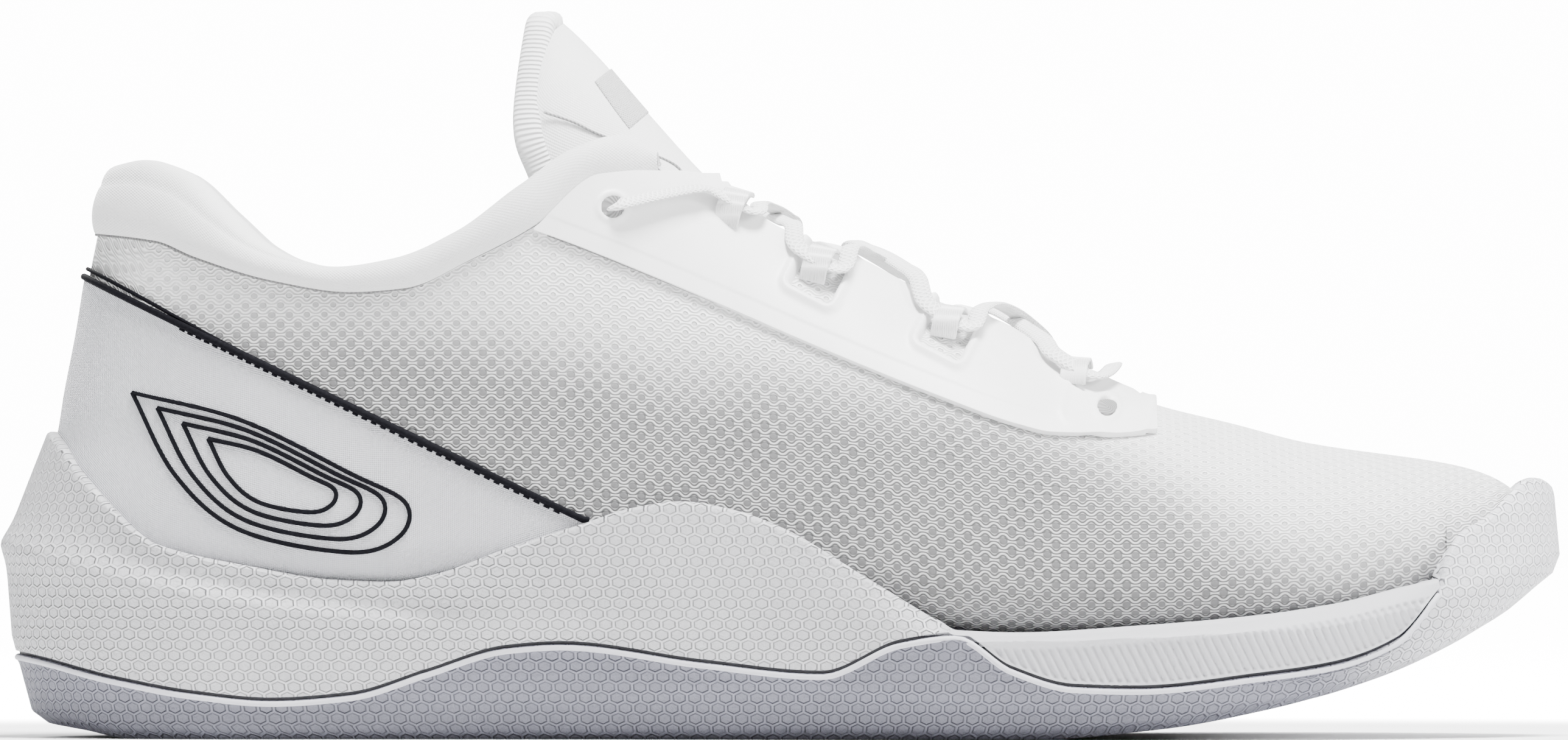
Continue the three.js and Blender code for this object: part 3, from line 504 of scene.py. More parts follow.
class Nodes:
    """Short calls for building a shader: sockets or numbers go in, sockets come out."""

    def __init__(self, name, roughness, sheen=0.0, specular=0.4):
        self.material = bpy.data.materials.new(name)
        self.material.use_nodes = True
        self.tree = self.material.node_tree
        self.shader = self.tree.nodes["Principled BSDF"]
        self.shader.inputs["Roughness"].default_value = roughness
        self.shader.inputs["Specular IOR Level"].default_value = specular
        self.shader.inputs["Sheen Weight"].default_value = sheen
        uv = self.tree.nodes.new("ShaderNodeUVMap")
        uv.uv_map = "fabric"
        split = self.tree.nodes.new("ShaderNodeSeparateXYZ")
        self.tree.links.new(uv.outputs["UV"], split.inputs[0])
        self.uv, self.u, self.v = uv.outputs["UV"], split.outputs[0], split.outputs[1]

    def put(self, socket, value):
        """Links a socket, or sets a value, into a node's input."""
        if isinstance(value, bpy.types.NodeSocket):
            self.tree.links.new(value, socket)
        else:
            socket.default_value = value

    def math(self, operation, a, b=0.0, c=0.0):
        node = self.tree.nodes.new("ShaderNodeMath")
        node.operation = operation
        for socket, value in zip(node.inputs, (a, b, c)):
            self.put(socket, value)
        return node.outputs[0]

    def plus(self, a, b):
        return self.math("ADD", a, b)

    def minus(self, a, b):
        return self.math("SUBTRACT", a, b)

    def times(self, a, b):
        return self.math("MULTIPLY", a, b)

    def wave(self, value, period, function="SINE"):
        """A wave over a value, which repeats after each period."""
        return self.math(function, self.times(value, FULL_TURN / period))

    def slanting_waves(self, period):
        """Two waves that cross each other, slanting over the fabric."""
        return self.wave(self.plus(self.u, self.v), period), self.wave(self.minus(self.u, self.v), period)

    def ramp(self, value, low, high, to_low=0.0, to_high=1.0):
        """A smooth change of a value between two limits."""
        node = self.tree.nodes.new("ShaderNodeMapRange")
        node.interpolation_type = "SMOOTHSTEP"
        for socket, given in zip(node.inputs, (value, low, high, to_low, to_high)):
            self.put(socket, given)
        return node.outputs[0]

    def mix(self, share, a, b):
        """A blend from one colour to another."""
        node = self.tree.nodes.new("ShaderNodeMix")
        node.data_type = "RGBA"
        self.put(node.inputs["Factor"], share)
        for name, value in (("A", a), ("B", b)):
            socket = [s for s in node.inputs if s.name == name and s.type == "RGBA"][0]
            self.put(socket, value if isinstance(value, bpy.types.NodeSocket) else (*value, 1))
        return [s for s in node.outputs if s.type == "RGBA"][0]

    def noise(self, scale, detail=3.0):
        """Soft clouds over the piece; the scale is in waves per metre."""
        node = self.tree.nodes.new("ShaderNodeTexNoise")
        node.inputs["Scale"].default_value = scale
        node.inputs["Detail"].default_value = detail
        where = self.tree.nodes.new("ShaderNodeTexCoord")
        self.tree.links.new(where.outputs["Object"], node.inputs["Vector"])
        return node.outputs[0]

    def place(self):
        """The place along the shoe in the frame, in metres."""
        where = self.tree.nodes.new("ShaderNodeTexCoord")
        split = self.tree.nodes.new("ShaderNodeSeparateXYZ")
        self.tree.links.new(where.outputs["Object"], split.inputs[0])
        return split.outputs[0]

    def lattice(self, pitch_u, pitch_v):
        """Offsets from the nearest point of a staggered lattice, in shares of its pitch."""
        u = self.math("DIVIDE", self.u, pitch_u)
        v = self.math("DIVIDE", self.v, pitch_v)
        row = 2 * HEX_SLANT

        def offset(value, period, shift):
            moved = self.plus(value, 400 * period - shift)
            return self.minus(self.math("MODULO", moved, period), period / 2)

        a = (offset(u, 1.0, 0.0), offset(v, row, 0.0))
        b = (offset(u, 1.0, 0.5), offset(v, row, row / 2))
        far = [self.plus(self.times(x, x), self.times(y, y)) for x, y in (a, b)]
        first = self.math("LESS_THAN", far[0], far[1])
        second = self.minus(1.0, first)
        return [self.plus(self.times(p, first), self.times(q, second)) for p, q in zip(a, b)]

    def hex_edge(self, pitch_u, pitch_v):
        """Distance from the nearest edge of a grid of hexagon cells: 0 on the edge, 0.5 at the middle."""
        x, y = self.lattice(pitch_u, pitch_v)
        x = self.math("ABSOLUTE", x)
        y = self.math("ABSOLUTE", y)
        slanted = self.plus(self.times(x, 0.5), self.times(y, HEX_SLANT))
        return self.minus(0.5, self.math("MAXIMUM", slanted, x))

    def bump(self, height, distance, strength):
        """A normal for heights that are not modelled; the distance is in metres."""
        node = self.tree.nodes.new("ShaderNodeBump")
        node.inputs["Strength"].default_value = strength
        node.inputs["Distance"].default_value = distance
        self.put(node.inputs["Height"], height)
        return node.outputs[0]

    def finish(self, colour, normal=None, roughness=None):
        """Joins the colour and the normal to the shader, and gives back the finished material."""
        self.put(self.shader.inputs["Base Color"],
                 colour if isinstance(colour, bpy.types.NodeSocket) else (*colour, 1))
        if normal is not None:
            self.tree.links.new(normal, self.shader.inputs["Normal"])
        if roughness is not None:
            self.put(self.shader.inputs["Roughness"], roughness)
        return self.material


def grey(level):
    return (level, level, level)


def plain_material(name, colour, roughness):
    """A material with faint mottling, for the hidden board and stiffeners."""
    n = Nodes(name, roughness)
    share = n.ramp(n.noise(60), 0.35, 0.65)
    return n.finish(n.mix(share, colour, tuple(0.97 * c for c in colour)))


def mesh_material():
    """Knitted mesh: staggered rows of oval holes painted near black as shade, with yarns that wave round them
    and painted shade in the troughs between them.
    """
    n = Nodes("knit_mesh", 0.85, sheen=0.2)
    pitch, row = 3.2, 1.8
    x, y = n.lattice(pitch, row / HEX_SLANT)
    # The knit closes up the side, later towards the heel and sooner towards the toe.
    shift = n.plus(n.ramp(n.u, 60, 125, -9, 0), n.ramp(n.u, 180, 245, 0, 30))
    closed = n.ramp(n.plus(n.v, shift), 33, 72)
    patchy = n.ramp(n.noise(75, 2.0), 0.35, 0.65, -0.07, 0.05)
    across = n.times(x, pitch)
    over = n.times(y, 1.12 * row / HEX_SLANT)
    distance = n.math("SQRT", n.plus(n.times(across, across), n.times(over, over)))
    radius = n.plus(n.ramp(closed, 0.0, 1.0, 0.72, 0.42), patchy)
    hole = n.minus(1.0, n.ramp(n.minus(distance, radius), -0.12, 0.16))
    bend = n.times(n.wave(n.v, 2 * row), n.wave(n.u, pitch, "COSINE"))
    yarn = n.wave(n.minus(n.v, n.times(bend, 0.30 * row)), row / 2, "COSINE")
    height = n.minus(n.times(yarn, 0.3), n.times(hole, 1.2))
    bright = n.ramp(closed, 0.0, 1.0, 0.0, 1.0)
    high = n.mix(bright, grey(0.56), grey(0.95))
    low = n.mix(bright, grey(0.07), grey(0.62))
    # Painted shade: the yarns are darkest in the troughs between them.
    knit = n.mix(n.ramp(yarn, -0.9, 0.6), low, high)
    # Painted shade: the holes are painted near black, deeper where the knit is open.
    depth = n.ramp(closed, 0.0, 1.0, 0.95, 0.45)
    colour = n.mix(n.times(hole, depth), knit, (0.09, 0.09, 0.0918))
    return n.finish(colour, n.bump(height, 0.0004, 0.9))


def jersey_material(name, level):
    """Fine jersey with small stitches."""
    n = Nodes(name, 0.9, sheen=0.35)
    stitch = n.times(n.wave(n.u, 0.7), n.wave(n.v, 0.55))
    colour = n.mix(n.ramp(stitch, -1, 1), grey(level * 0.97), grey(level))
    return n.finish(colour, n.bump(n.times(stitch, 0.4), 0.00012, 0.8))


def film_material():
    """The heel overlay: a satin film pressed on a fine weave, slightly lilac."""
    n = Nodes("heel_film", 0.5, specular=0.5)
    weave = n.times(*n.slanting_waves(0.75))
    colour = n.mix(n.ramp(weave, -1, 1), (0.44, 0.44, 0.47), (0.56, 0.56, 0.59))
    return n.finish(colour, n.bump(weave, 0.0002, 0.8))


def overlay_material():
    """The eyestay: smooth satin film with a slight unevenness where it is pressed on."""
    n = Nodes("eyestay_film", 0.42, specular=0.45)
    cloud = n.noise(90)
    colour = n.mix(n.ramp(cloud, 0.3, 0.7), grey(0.88), grey(0.84))
    return n.finish(colour, n.bump(cloud, 0.0003, 0.35))


# How long and how high a cell is, in millimetres.
CELL_PITCH = (2.9, 2.2)


def cell_material(name, colour, depth, toe_colour_and_light=None, painted_under_shade=0.0):
    """Moulded foam or rubber with raised hexagon outlines and painted shade in the cells between them; it may
    be paler at the toe, partly its own colour and partly painted light, and has painted shade towards the
    bottom.
    """
    roughness = 0.55
    n = Nodes(name, roughness, specular=0.35)
    ridge = n.minus(1.0, n.ramp(n.hex_edge(*CELL_PITCH), 0.06, 0.17))
    grain = n.noise(1500, 2.0)
    height = n.plus(ridge, n.times(grain, 0.25))
    wear = n.times(n.ramp(n.noise(25), 0.35, 0.7), 0.1)
    # Painted shade in the sunken cells between the raised outlines, with random wear added.
    cell_shade_and_wear = n.plus(n.times(n.minus(1.0, ridge), 0.24), wear)
    # Paler rubber at the toe, partly painted light as if lit from the front.
    base = n.mix(n.ramp(n.place(), 0.095, 0.130), colour, toe_colour_and_light or colour)
    # Painted shade towards the bottom of the wall.
    base = n.mix(n.ramp(n.v, 1.0, 9.0, painted_under_shade, 0.0), base, (0.05, 0.05, 0.065))
    shade = n.mix(cell_shade_and_wear, base, (0.05, 0.05, 0.06))
    return n.finish(shade, n.bump(height, depth, 0.9), n.ramp(grain, 0, 1, roughness, roughness + 0.12))


def moulded_material(name, colour):
    """Plain moulded foam with a fine grain."""
    n = Nodes(name, 0.6, specular=0.35)
    grain = n.noise(1200, 2.0)
    wear = n.ramp(n.noise(30), 0.3, 0.7)
    return n.finish(n.mix(wear, colour, tuple(0.96 * c for c in colour)), n.bump(grain, 0.00015, 0.5))


def braid_material(name, level, pitch):
    """Woven lace or webbing: two sets of slanting threads."""
    n = Nodes(name, 0.8, sheen=0.25)
    thread = n.math("MAXIMUM", *n.slanting_waves(pitch))
    colour = n.mix(n.ramp(thread, 0.0, 1.0), grey(level * 0.86), grey(level))
    return n.finish(colour, n.bump(thread, 0.0002, 0.7))


def rib_material(name, level, pitch):
    """Ribbed binding: ribs across its length."""
    n = Nodes(name, 0.9, sheen=0.3)
    ribs = n.wave(n.u, pitch)
    colour = n.mix(n.ramp(ribs, -1, 1), grey(level * 0.9), grey(level))
    return n.finish(colour, n.bump(ribs, 0.0002, 0.8))


def black_material(name):
    """Matt black, with a fine grain."""
    n = Nodes(name, 0.8, specular=0.05)
    grain = n.noise(2000, 1.0)
    return n.finish(n.mix(grain, (0.001, 0.001, 0.002), (0.006, 0.006, 0.008)), n.bump(grain, 0.00005, 0.4))


def thread_and_shadow_material(name, level):
    """Sunken grey thread; also used for painted shade in the eyelets and painted shadow lines."""
    n = Nodes(name, 0.9, specular=0.1)
    twist = n.wave(n.plus(n.u, n.v), 0.8)
    colour = n.mix(n.ramp(twist, -1, 1), grey(level * 0.8), grey(level * 1.2))
    return n.finish(colour, n.bump(twist, 0.0001, 0.6))


# ---------------------------------------------------------------- sole pieces

PARTING_GAP = 0.36


def wall_grid(s, low, high, rows, side):
    """Wall points from a side-view line, or a height for each station, up to another line."""
    share = np.linspace(0, 1, rows)[None, :]
    bottom = (line_height(s, low, side) if callable(low) else low)[:, None]
    top = line_height(s, high, side)[:, None]
    return wall_at(s, bottom + (top - bottom) * share, side)


def wall_uv(s, grid, side):
    """Texture places on a wall: the length round the outline, and the height."""
    outline = np.stack([s, sole_half[side](s)], -1)
    length = np.concatenate([[0], np.cumsum(np.linalg.norm(np.diff(outline, axis=0), axis=1))])
    return np.stack(np.broadcast_arrays(length[:, None], grid[..., 2]), -1)


def line_height(s, line, side):
    """The height at which a side-view line meets the wall at each station, by repeated guessing."""
    z = line(s)
    for _ in range(12):
        x = wall_at(s, z[:, None], side)[:, 0, 0]
        z = 0.5 * (z + line(x))
    return z


def rim_rows(grid, outward, steps):
    """Extra rows beyond a grid's last, each moved up and inwards, which roll the rim over."""
    last = grid[:, -1]
    rows = [last - outward * back + np.array([0, 0, 1.0]) * up for back, up in steps]
    return np.concatenate([grid, np.stack(rows, 1)], 1)


def plan_outward(s, side):
    """The outward direction in plan of the sole's outline."""
    ds = 0.5
    a = np.stack([s - ds, sole_half[side](np.clip(s - ds, 0, LENGTH))], -1)
    b = np.stack([s + ds, sole_half[side](np.clip(s + ds, 0, LENGTH))], -1)
    along = b - a
    along /= np.linalg.norm(along, axis=1)[:, None]
    return np.stack([-along[:, 1], side * along[:, 0], np.zeros(len(s))], -1)


# Steps of a rim that rolls over: how far back each row lies, and how far up.
RIM = [(0.25, 0.35), (0.75, 0.6), (1.5, 0.6), (3.0, 0.4), (6.5, 0.0)]

# The bevel under the outsole's wall: its upper line, and its depth.
facet_line = curve([(140, 10.5), (200, 6.0), (243, 8.5), (262, 13.5), (285, 26)])
facet_depth = curve([(130, 0), (155, 0.9), (235, 0.9), (262, 0.3), (275, 0), (285, 0)])


def at_toe(x):
    """0 along the shoe and 1 at the toe's cup."""
    return smooth_step((x - 256) / 8)


def outsole_wall(s, side):
    """The rubber's wall on one side: a bevel at its foot, a swell under the parting and a rolled rim."""
    grid = wall_grid(s, ground_line(s), lambda x: outsole_top(x) - PARTING_GAP - 0.6 * at_toe(x), 26, side)
    outward = plan_outward(s, side)
    x, z = grid[..., 0], grid[..., 2]
    bevel = smooth_step(facet_line(x) - z) * facet_depth(x)
    swell = np.exp(-((parting_line(x) - 0.9 - z) / 0.7) ** 2) * (1 - at_toe(x))
    grid = grid + outward[:, None] * (0.3 * swell - bevel)[..., None]
    toe = at_toe(grid[:, -1, 0])[:, None]
    steps = [(0.3 + 0.2 * toe, 0.15 + 0.35 * toe), (1.2, 0.1 + 0.4 * toe), (2.0 + toe, -0.6 - 0.9 * toe),
             (3.0 + 2.0 * toe, -1.6 - 1.2 * toe)]
    return rim_rows(grid, outward, steps)


def make_outsole():
    """The rubber cup: walls and patterned tread in one skin, closed by its thickness."""
    s = stations(0, LENGTH, 300)
    left, right = (outsole_wall(s, side) for side in SIDES)
    share = np.linspace(0, 1, 90)[None, :, None]
    tread = left[:, :1] * (1 - share) + right[:, :1] * share
    tread[..., 2] += tread_depth(tread[..., 0], tread[..., 1], share[..., 0])
    grid = np.concatenate([left[:, ::-1], tread[:, 1:-1], right], 1)
    uv = np.concatenate([wall_uv(s, left, -1)[:, ::-1], arc_uv(tread)[:, 1:-1], wall_uv(s, right, 1)], 1)
    # Painted shade along the rubber's bottom, and a toe partly painted light.
    rubber = cell_material("outsole_rubber", (0.17, 0.172, 0.21), 0.0012,
                           toe_colour_and_light=(0.80, 0.80, 0.83), painted_under_shade=0.6)
    piece = make_piece("outsole_skin", [grid], rubber, thickness=1.6, smooth_angle=40,
                       uvs=[uv], flip=[True])
    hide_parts("outsole")
    make_outsole_bead()


def make_outsole_bead():
    """The bead along the rubber's top edge, up to the toe's cup, painted pale as a highlight."""
    s = stations(0, 262, 260)
    paths = []
    for side in SIDES:
        height = line_height(s, lambda x: parting_line(x) - 0.85, side)
        paths.append((wall_at(s, height[:, None], side)[:, 0], plan_outward(s, side)))
    # Painted highlight: the bead is much paler than the rubber below it.
    rubber = moulded_material("bead_painted_highlight", (0.52, 0.52, 0.56))
    make_tubes("outsole_bead", paths, 0.55, 10, rubber)


def tread_depth(x, y, share):
    """Herringbone grooves and a smooth rim, as a height above the ground face."""
    depth = 1.3
    pitch = 8.0
    zigzag = np.abs(((y + 200) % 22) - 11) * 0.8
    wave = np.cos(FULL_TURN * (x + zigzag) / pitch)
    groove = smooth_step((wave - 0.45) / 0.25)
    waist = 1 - smooth_step((x - 104) / 6) * smooth_step((152 - x) / 6)
    edge = smooth_step((share - 0.05) / 0.03) * smooth_step((0.95 - share) / 0.03)
    ends = smooth_step((x - 12) / 6) * smooth_step((266 - x) / 6)
    return depth * groove * edge * ends * waist


def make_clip():
    """The wave-shaped cage of the heel and midfoot, with its rolled top rim."""
    s = stations(0, 173.6, 230)
    grids = []
    for side in SIDES:
        grid = wall_grid(s, lambda x: parting_line(x) + PARTING_GAP, lambda x: wall_top(x) - 0.5, 44, side)
        grids.append(rim_rows(grid, plan_outward(s, side), RIM))
    cells = cell_material("clip_cells", (0.53, 0.53, 0.545), 0.0014)
    piece = make_piece("heel_clip_skin", grids, cells, thickness=1.2, flip=MIRRORED,
                       uvs=[wall_uv(s, grid, side) for grid, side in zip(grids, SIDES)])
    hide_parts("heel_clip")


def make_midsole():
    """The ribbed band of the foam midsole along the forefoot."""
    rib_depth, rib_pitch, rib_slant = 0.32, 1.6, 0.5
    s = stations(171.5, 262.4, 420)
    grids = []
    for side in SIDES:
        grid = wall_grid(s, lambda x: np.minimum(parting_line(x) + PARTING_GAP, wall_top(x) - 0.6),
                         lambda x: wall_top(x) - 0.3, 30, side)
        outward = plan_outward(s, side)[:, None]
        below_top = wall_top(grid[..., 0]) - grid[..., 2]
        above_low = grid[..., 2] - parting_line(grid[..., 0])
        slanted = grid[..., 0] + rib_slant * grid[..., 2]
        ribs = rib_depth * (np.cos(FULL_TURN * slanted / rib_pitch) - 1)
        fade = smooth_step((below_top - 2.2) / 0.8) * smooth_step((above_low - 0.5) / 0.8)
        grid = grid + outward * (ribs * fade)[..., None]
        grids.append(rim_rows(grid, plan_outward(s, side), RIM))
    foam = moulded_material("midsole_foam", (0.42, 0.42, 0.44))
    piece = make_piece("midsole_band", grids, foam, thickness=1.2, flip=MIRRORED)
    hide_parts("midsole")


def make_parting():
    """A dark strip of painted shadow inside the gap between the rubber and the foam."""
    half_high, inside = 1.2, 0.6
    s = stations(0, 262, 200)
    grids = []
    for side in SIDES:
        grid = wall_grid(s, lambda x: parting_line(x) - half_high, lambda x: parting_line(x) + half_high,
                         5, side)
        grids.append(grid - plan_outward(s, side)[:, None] * inside)
    shade = moulded_material("parting_shadow", (0.02, 0.02, 0.025))
    make_piece("midsole_parting", grids, shade, thickness=0.6, flip=MIRRORED)


# ---------------------------------------------------------------- upper pieces

def upper_grid(s, low, high, rows, side, inset):
    """Points of the upper between two side-view lines; the inset is a number, or a relief over x and z."""
    base = inset if np.isscalar(inset) else 0.0
    start = turn_at(s, low, base, side)[:, None]
    end = turn_at(s, high, base, side)[:, None]
    share = np.linspace(0, 1, rows)[None, :]
    turn = start + (end - start) * share
    station = s[:, None]
    if not np.isscalar(inset):
        x, _, z = upper_at(station, turn, base, side)
        inset = inset(x, z)
    return np.stack(upper_at(station, turn, inset, side), -1)


def girth_uv(grid, s):
    """Texture places whose second value counts up from the girth line, which stands at 20 mm."""
    uv = arc_uv(grid)
    for column, middle in enumerate(girth_line(s)):
        uv[column, :, 1] += 20 - np.interp(middle, grid[column, :, 2], uv[column, :, 1])
    return uv


def upper_edge(x):
    """The top edge of the mesh: under the collar seam, then along the throat, then over the vamp."""
    behind = seam_line(x) + 1.2
    throat = throat_line(x) - 0.7
    line = np.where(x < 112, behind, np.where(x < 133, np.minimum(103.2, throat_line(x)), throat))
    return np.where(x > 208.5, 300.0, line)


def make_mesh_upper():
    """The knitted mesh; its stations part where the throat ends and the vamp is whole."""
    s = np.concatenate([stations(0, 208.4, 170), stations(208.6, LENGTH, 90)])
    low = lambda x: wall_top(x) - 7.0
    grids = [upper_grid(s, low, upper_edge, 90, side, MESH_INSET) for side in SIDES]
    uvs = [girth_uv(grid, s) for grid in grids]
    piece = make_piece("mesh_upper_knit", grids, mesh_material(), thickness=0.9,
                       flip=MIRRORED, uvs=uvs)
    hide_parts("mesh_upper")


def make_lining():
    """The knitted lining inside, whose edge turns out to the mesh along the throat."""
    s = stations(0, LENGTH, 120)
    low = lambda x: feather_line(x) + 6.2
    edge = lambda x: np.where(x < 112, collar_foot(x) + 2, np.where(x > 208.5, 300, throat_line(x) - 2.5))
    near_edge = smooth_step((np.linspace(0, 1, 40) - 0.9) / 0.1)[None, :]
    turned_out = (near_edge * smooth_step((s - 116) / 4)[:, None])[..., None]
    grids = []
    for side in SIDES:
        inner = upper_grid(s, low, edge, 40, side, CAVITY_INSET - 0.9)
        rim = upper_grid(s, low, lambda x: edge(x) + 1.6, 40, side, MESH_INSET + 0.9)
        grids.append(inner + (rim - inner) * turned_out)
    piece = make_piece("upper_lining_knit", grids, jersey_material("lining_knit", 0.78),
                       thickness=0.8, flip=MIRRORED)
    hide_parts("upper_lining")


def make_heel_panel():
    """The satin film round the heel, from the clip up to the piping."""
    s = stations(0, 112, 150)
    low = lambda x: wall_top(x) - 2.5
    high = lambda x: np.maximum(piping_line(x) - 0.3, wall_top(x) - 2.4)
    grids = [upper_grid(s, low, high, 60, side, 0.15) for side in SIDES]
    piece = make_piece("heel_panel_film", grids, film_material(), thickness=0.8, flip=MIRRORED)
    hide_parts("heel_panel")


def outward_normals(path):
    """Rough outward directions of the upper along a path."""
    x = path[:, 0]
    core = np.stack([x + 6, centreline(x), np.minimum(path[:, 2] - 4, girth_line(x) + 8)], -1)
    away = path - core
    return away / np.linalg.norm(away, axis=1)[:, None]


def with_normals(paths):
    """Each path together with its outward directions, as make_tubes takes them."""
    return [(path, outward_normals(path)) for path in paths]


def wrap_line(line, inset, end):
    """A line round the heel, from the outer side's end, past the heel's back, to the inner side's end."""
    s = stations(0, end, 150)
    lateral = upper_on_line(s, line, inset, -1)[::-1]
    medial = upper_on_line(s, line, inset, 1)[1:]
    return np.concatenate([lateral, medial])


def make_piping():
    """The black piping with its second line, which parts from it near the heel, and its stitches."""
    black = black_material("black_trim")
    main = wrap_line(piping_line, 0.0, 108.5)
    piece = make_tubes("heel_piping_cord", with_normals([main]), 0.62, 10, black)
    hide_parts("heel_piping")
    upper_line = lambda x: piping_line(x) + 1.3 * smooth_step((46 - x) / 30) + 0.45
    second = wrap_line(upper_line, 0.5, 88)
    make_tubes("heel_piping_line", with_normals([second]), 0.36, 8, black)
    pitch, long = 1.9, 1.1
    lower = lambda x: piping_line(x) - 0.8
    stitches = [upper_on_line(np.linspace(start, start + long, 4), lower, 0.05, side)
                for side in SIDES for start in np.arange(24, 102, pitch)]
    make_tubes("heel_piping_stitches", with_normals(stitches), 0.3, 6, black)


def point_on_side(x, z, side, inset):
    """Points of the upper seen at given side-view places."""
    s = np.maximum(x - heel_back(z), 1.0)
    for _ in range(8):
        points = upper_on_line(s, lambda _: z, inset, side)
        s = np.clip(s + x - points[:, 0], 0.5, LENGTH)
    return points


def make_heel_trim():
    """Plain nested outlines on the heel panel: a generic flash that follows the panel's corner."""
    outer = [(24, 63), (44, 58), (64, 48.3), (74, 43), (73, 37), (64, 34), (44, 38), (32, 48), (24, 63)]
    black = black_material("flash_black")
    centre = np.array([50.0, 47.5])
    for side, word in SIDE_WORDS.items():
        paths = []
        for scale in (1.0, 0.82, 0.64, 0.46):
            places = (np.array(outer) - centre) * scale + centre
            outline = smooth_path(np.insert(places, 1, 0, axis=1), 130)
            paths.append(point_on_side(outline[:, 0], outline[:, 2], side, 0.0))
        piece = make_tubes(f"heel_trim_{word}_lines", with_normals(paths), 0.42, 6, black,
                           flatten=0.28)
        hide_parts(f"heel_trim_{word}")


# ---------------------------------------------------------------- eyestay

THROAT_ANGLE = math.atan2(THROAT[0][1] - THROAT[-1][1], THROAT[-1][0] - THROAT[0][0])
WINDOWS = [(172.8, 74.6), (149.2, 85.0)]
REAR_EYELET = (111.6, 96.7)
BOTTOM_EYELET = (201.5, 60.5)


def rounded_box_distance(x, z, centre, half_x, half_z, turn, corner=1.5):
    """Signed distance in side view to a rounded box turned with the throat."""
    dx, dz = x - centre[0], z - centre[1]
    a = dx * math.cos(turn) - dz * math.sin(turn)
    b = dx * math.sin(turn) + dz * math.cos(turn)
    qa = np.abs(a) - half_x + corner
    qb = np.abs(b) - half_z + corner
    outside = np.hypot(np.maximum(qa, 0), np.maximum(qb, 0))
    return outside + np.minimum(np.maximum(qa, qb), 0) - corner


def eyestay_relief(x, z):
    """How far the eyestay's face sinks: a stepped lower border, framed windows and eyelets."""
    from_foot = z - eyestay_foot(x)
    sink = 0.12 * (1 - smooth_step((from_foot - 3.0) / 0.8))
    for centre in WINDOWS:
        d = rounded_box_distance(x, z, centre, 4.9, 5.3, THROAT_ANGLE)
        sink = sink - 0.75 * np.exp(-((d - 0.2) / 0.75) ** 2) + 2.0 * smooth_step((-d - 0.5) / 0.7)
    for centre, radius in ((REAR_EYELET, 2.0), (BOTTOM_EYELET, 1.7)):
        d = np.hypot(x - centre[0], z - centre[1]) - radius
        sink = sink - 0.35 * np.exp(-((d - 0.5) / 0.6) ** 2) + 1.6 * smooth_step((-d + 0.1) / 0.6)
    ridge = rounded_box_distance(x, z, (202, 62), 8, 6.5, THROAT_ANGLE * 0.6, 3)
    return sink - 0.25 * np.exp(-(ridge / 0.6) ** 2)


def make_eyestays():
    """The moulded film on both sides of the throat, joined over the vamp."""
    material = overlay_material()
    s = stations(97.6, 213, 300)
    front_edge = lambda x: np.where(x > 208.2, 300.0, np.where(x < 128, eyestay_rear(x), throat_line(x)))
    top = lambda x: np.where(x < 131, np.minimum(eyestay_rear(x), 103.4), front_edge(x))
    for side, word in SIDE_WORDS.items():
        grid = upper_grid(s, eyestay_foot, top, 110, side, eyestay_relief)
        piece = make_piece(f"eyestay_{word}_film", [grid], material, thickness=1.1,
                           bevel=0.25, flip=[side > 0])
        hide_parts(f"eyestay_{word}")
    # Painted shadow: a dark line under the eyestay's lower edge.
    make_side_lines("eyestay_edge_shadow", lambda x: eyestay_foot(x) - 0.15, (100, 212), 0.9, 0.24)
    make_eyelets()


def make_eyelets():
    """Dark grey discs of painted shade that fill the eyelets inside their raised rims."""
    turns = np.linspace(0, FULL_TURN, 33)
    spread = np.linspace(0.02, 1, 7)
    grids = []
    for centre, half_x, half_z in ((REAR_EYELET, 2.2, 2.2), (BOTTOM_EYELET, 2.1, 1.3)):
        for side in SIDES:
            x = centre[0] + half_x * spread[None, :] * np.cos(turns)[:, None]
            z = centre[1] + half_z * spread[None, :] * np.sin(turns)[:, None]
            points = point_on_side(x.ravel(), z.ravel(), side, -0.1)
            grids.append(points.reshape(*x.shape, 3))
    make_piece("eyelet_wells", grids, thread_and_shadow_material("eyelet_painted_shade", 0.22), thickness=0.5,
               flip=[True, False] * 2)


# ---------------------------------------------------------------- collar

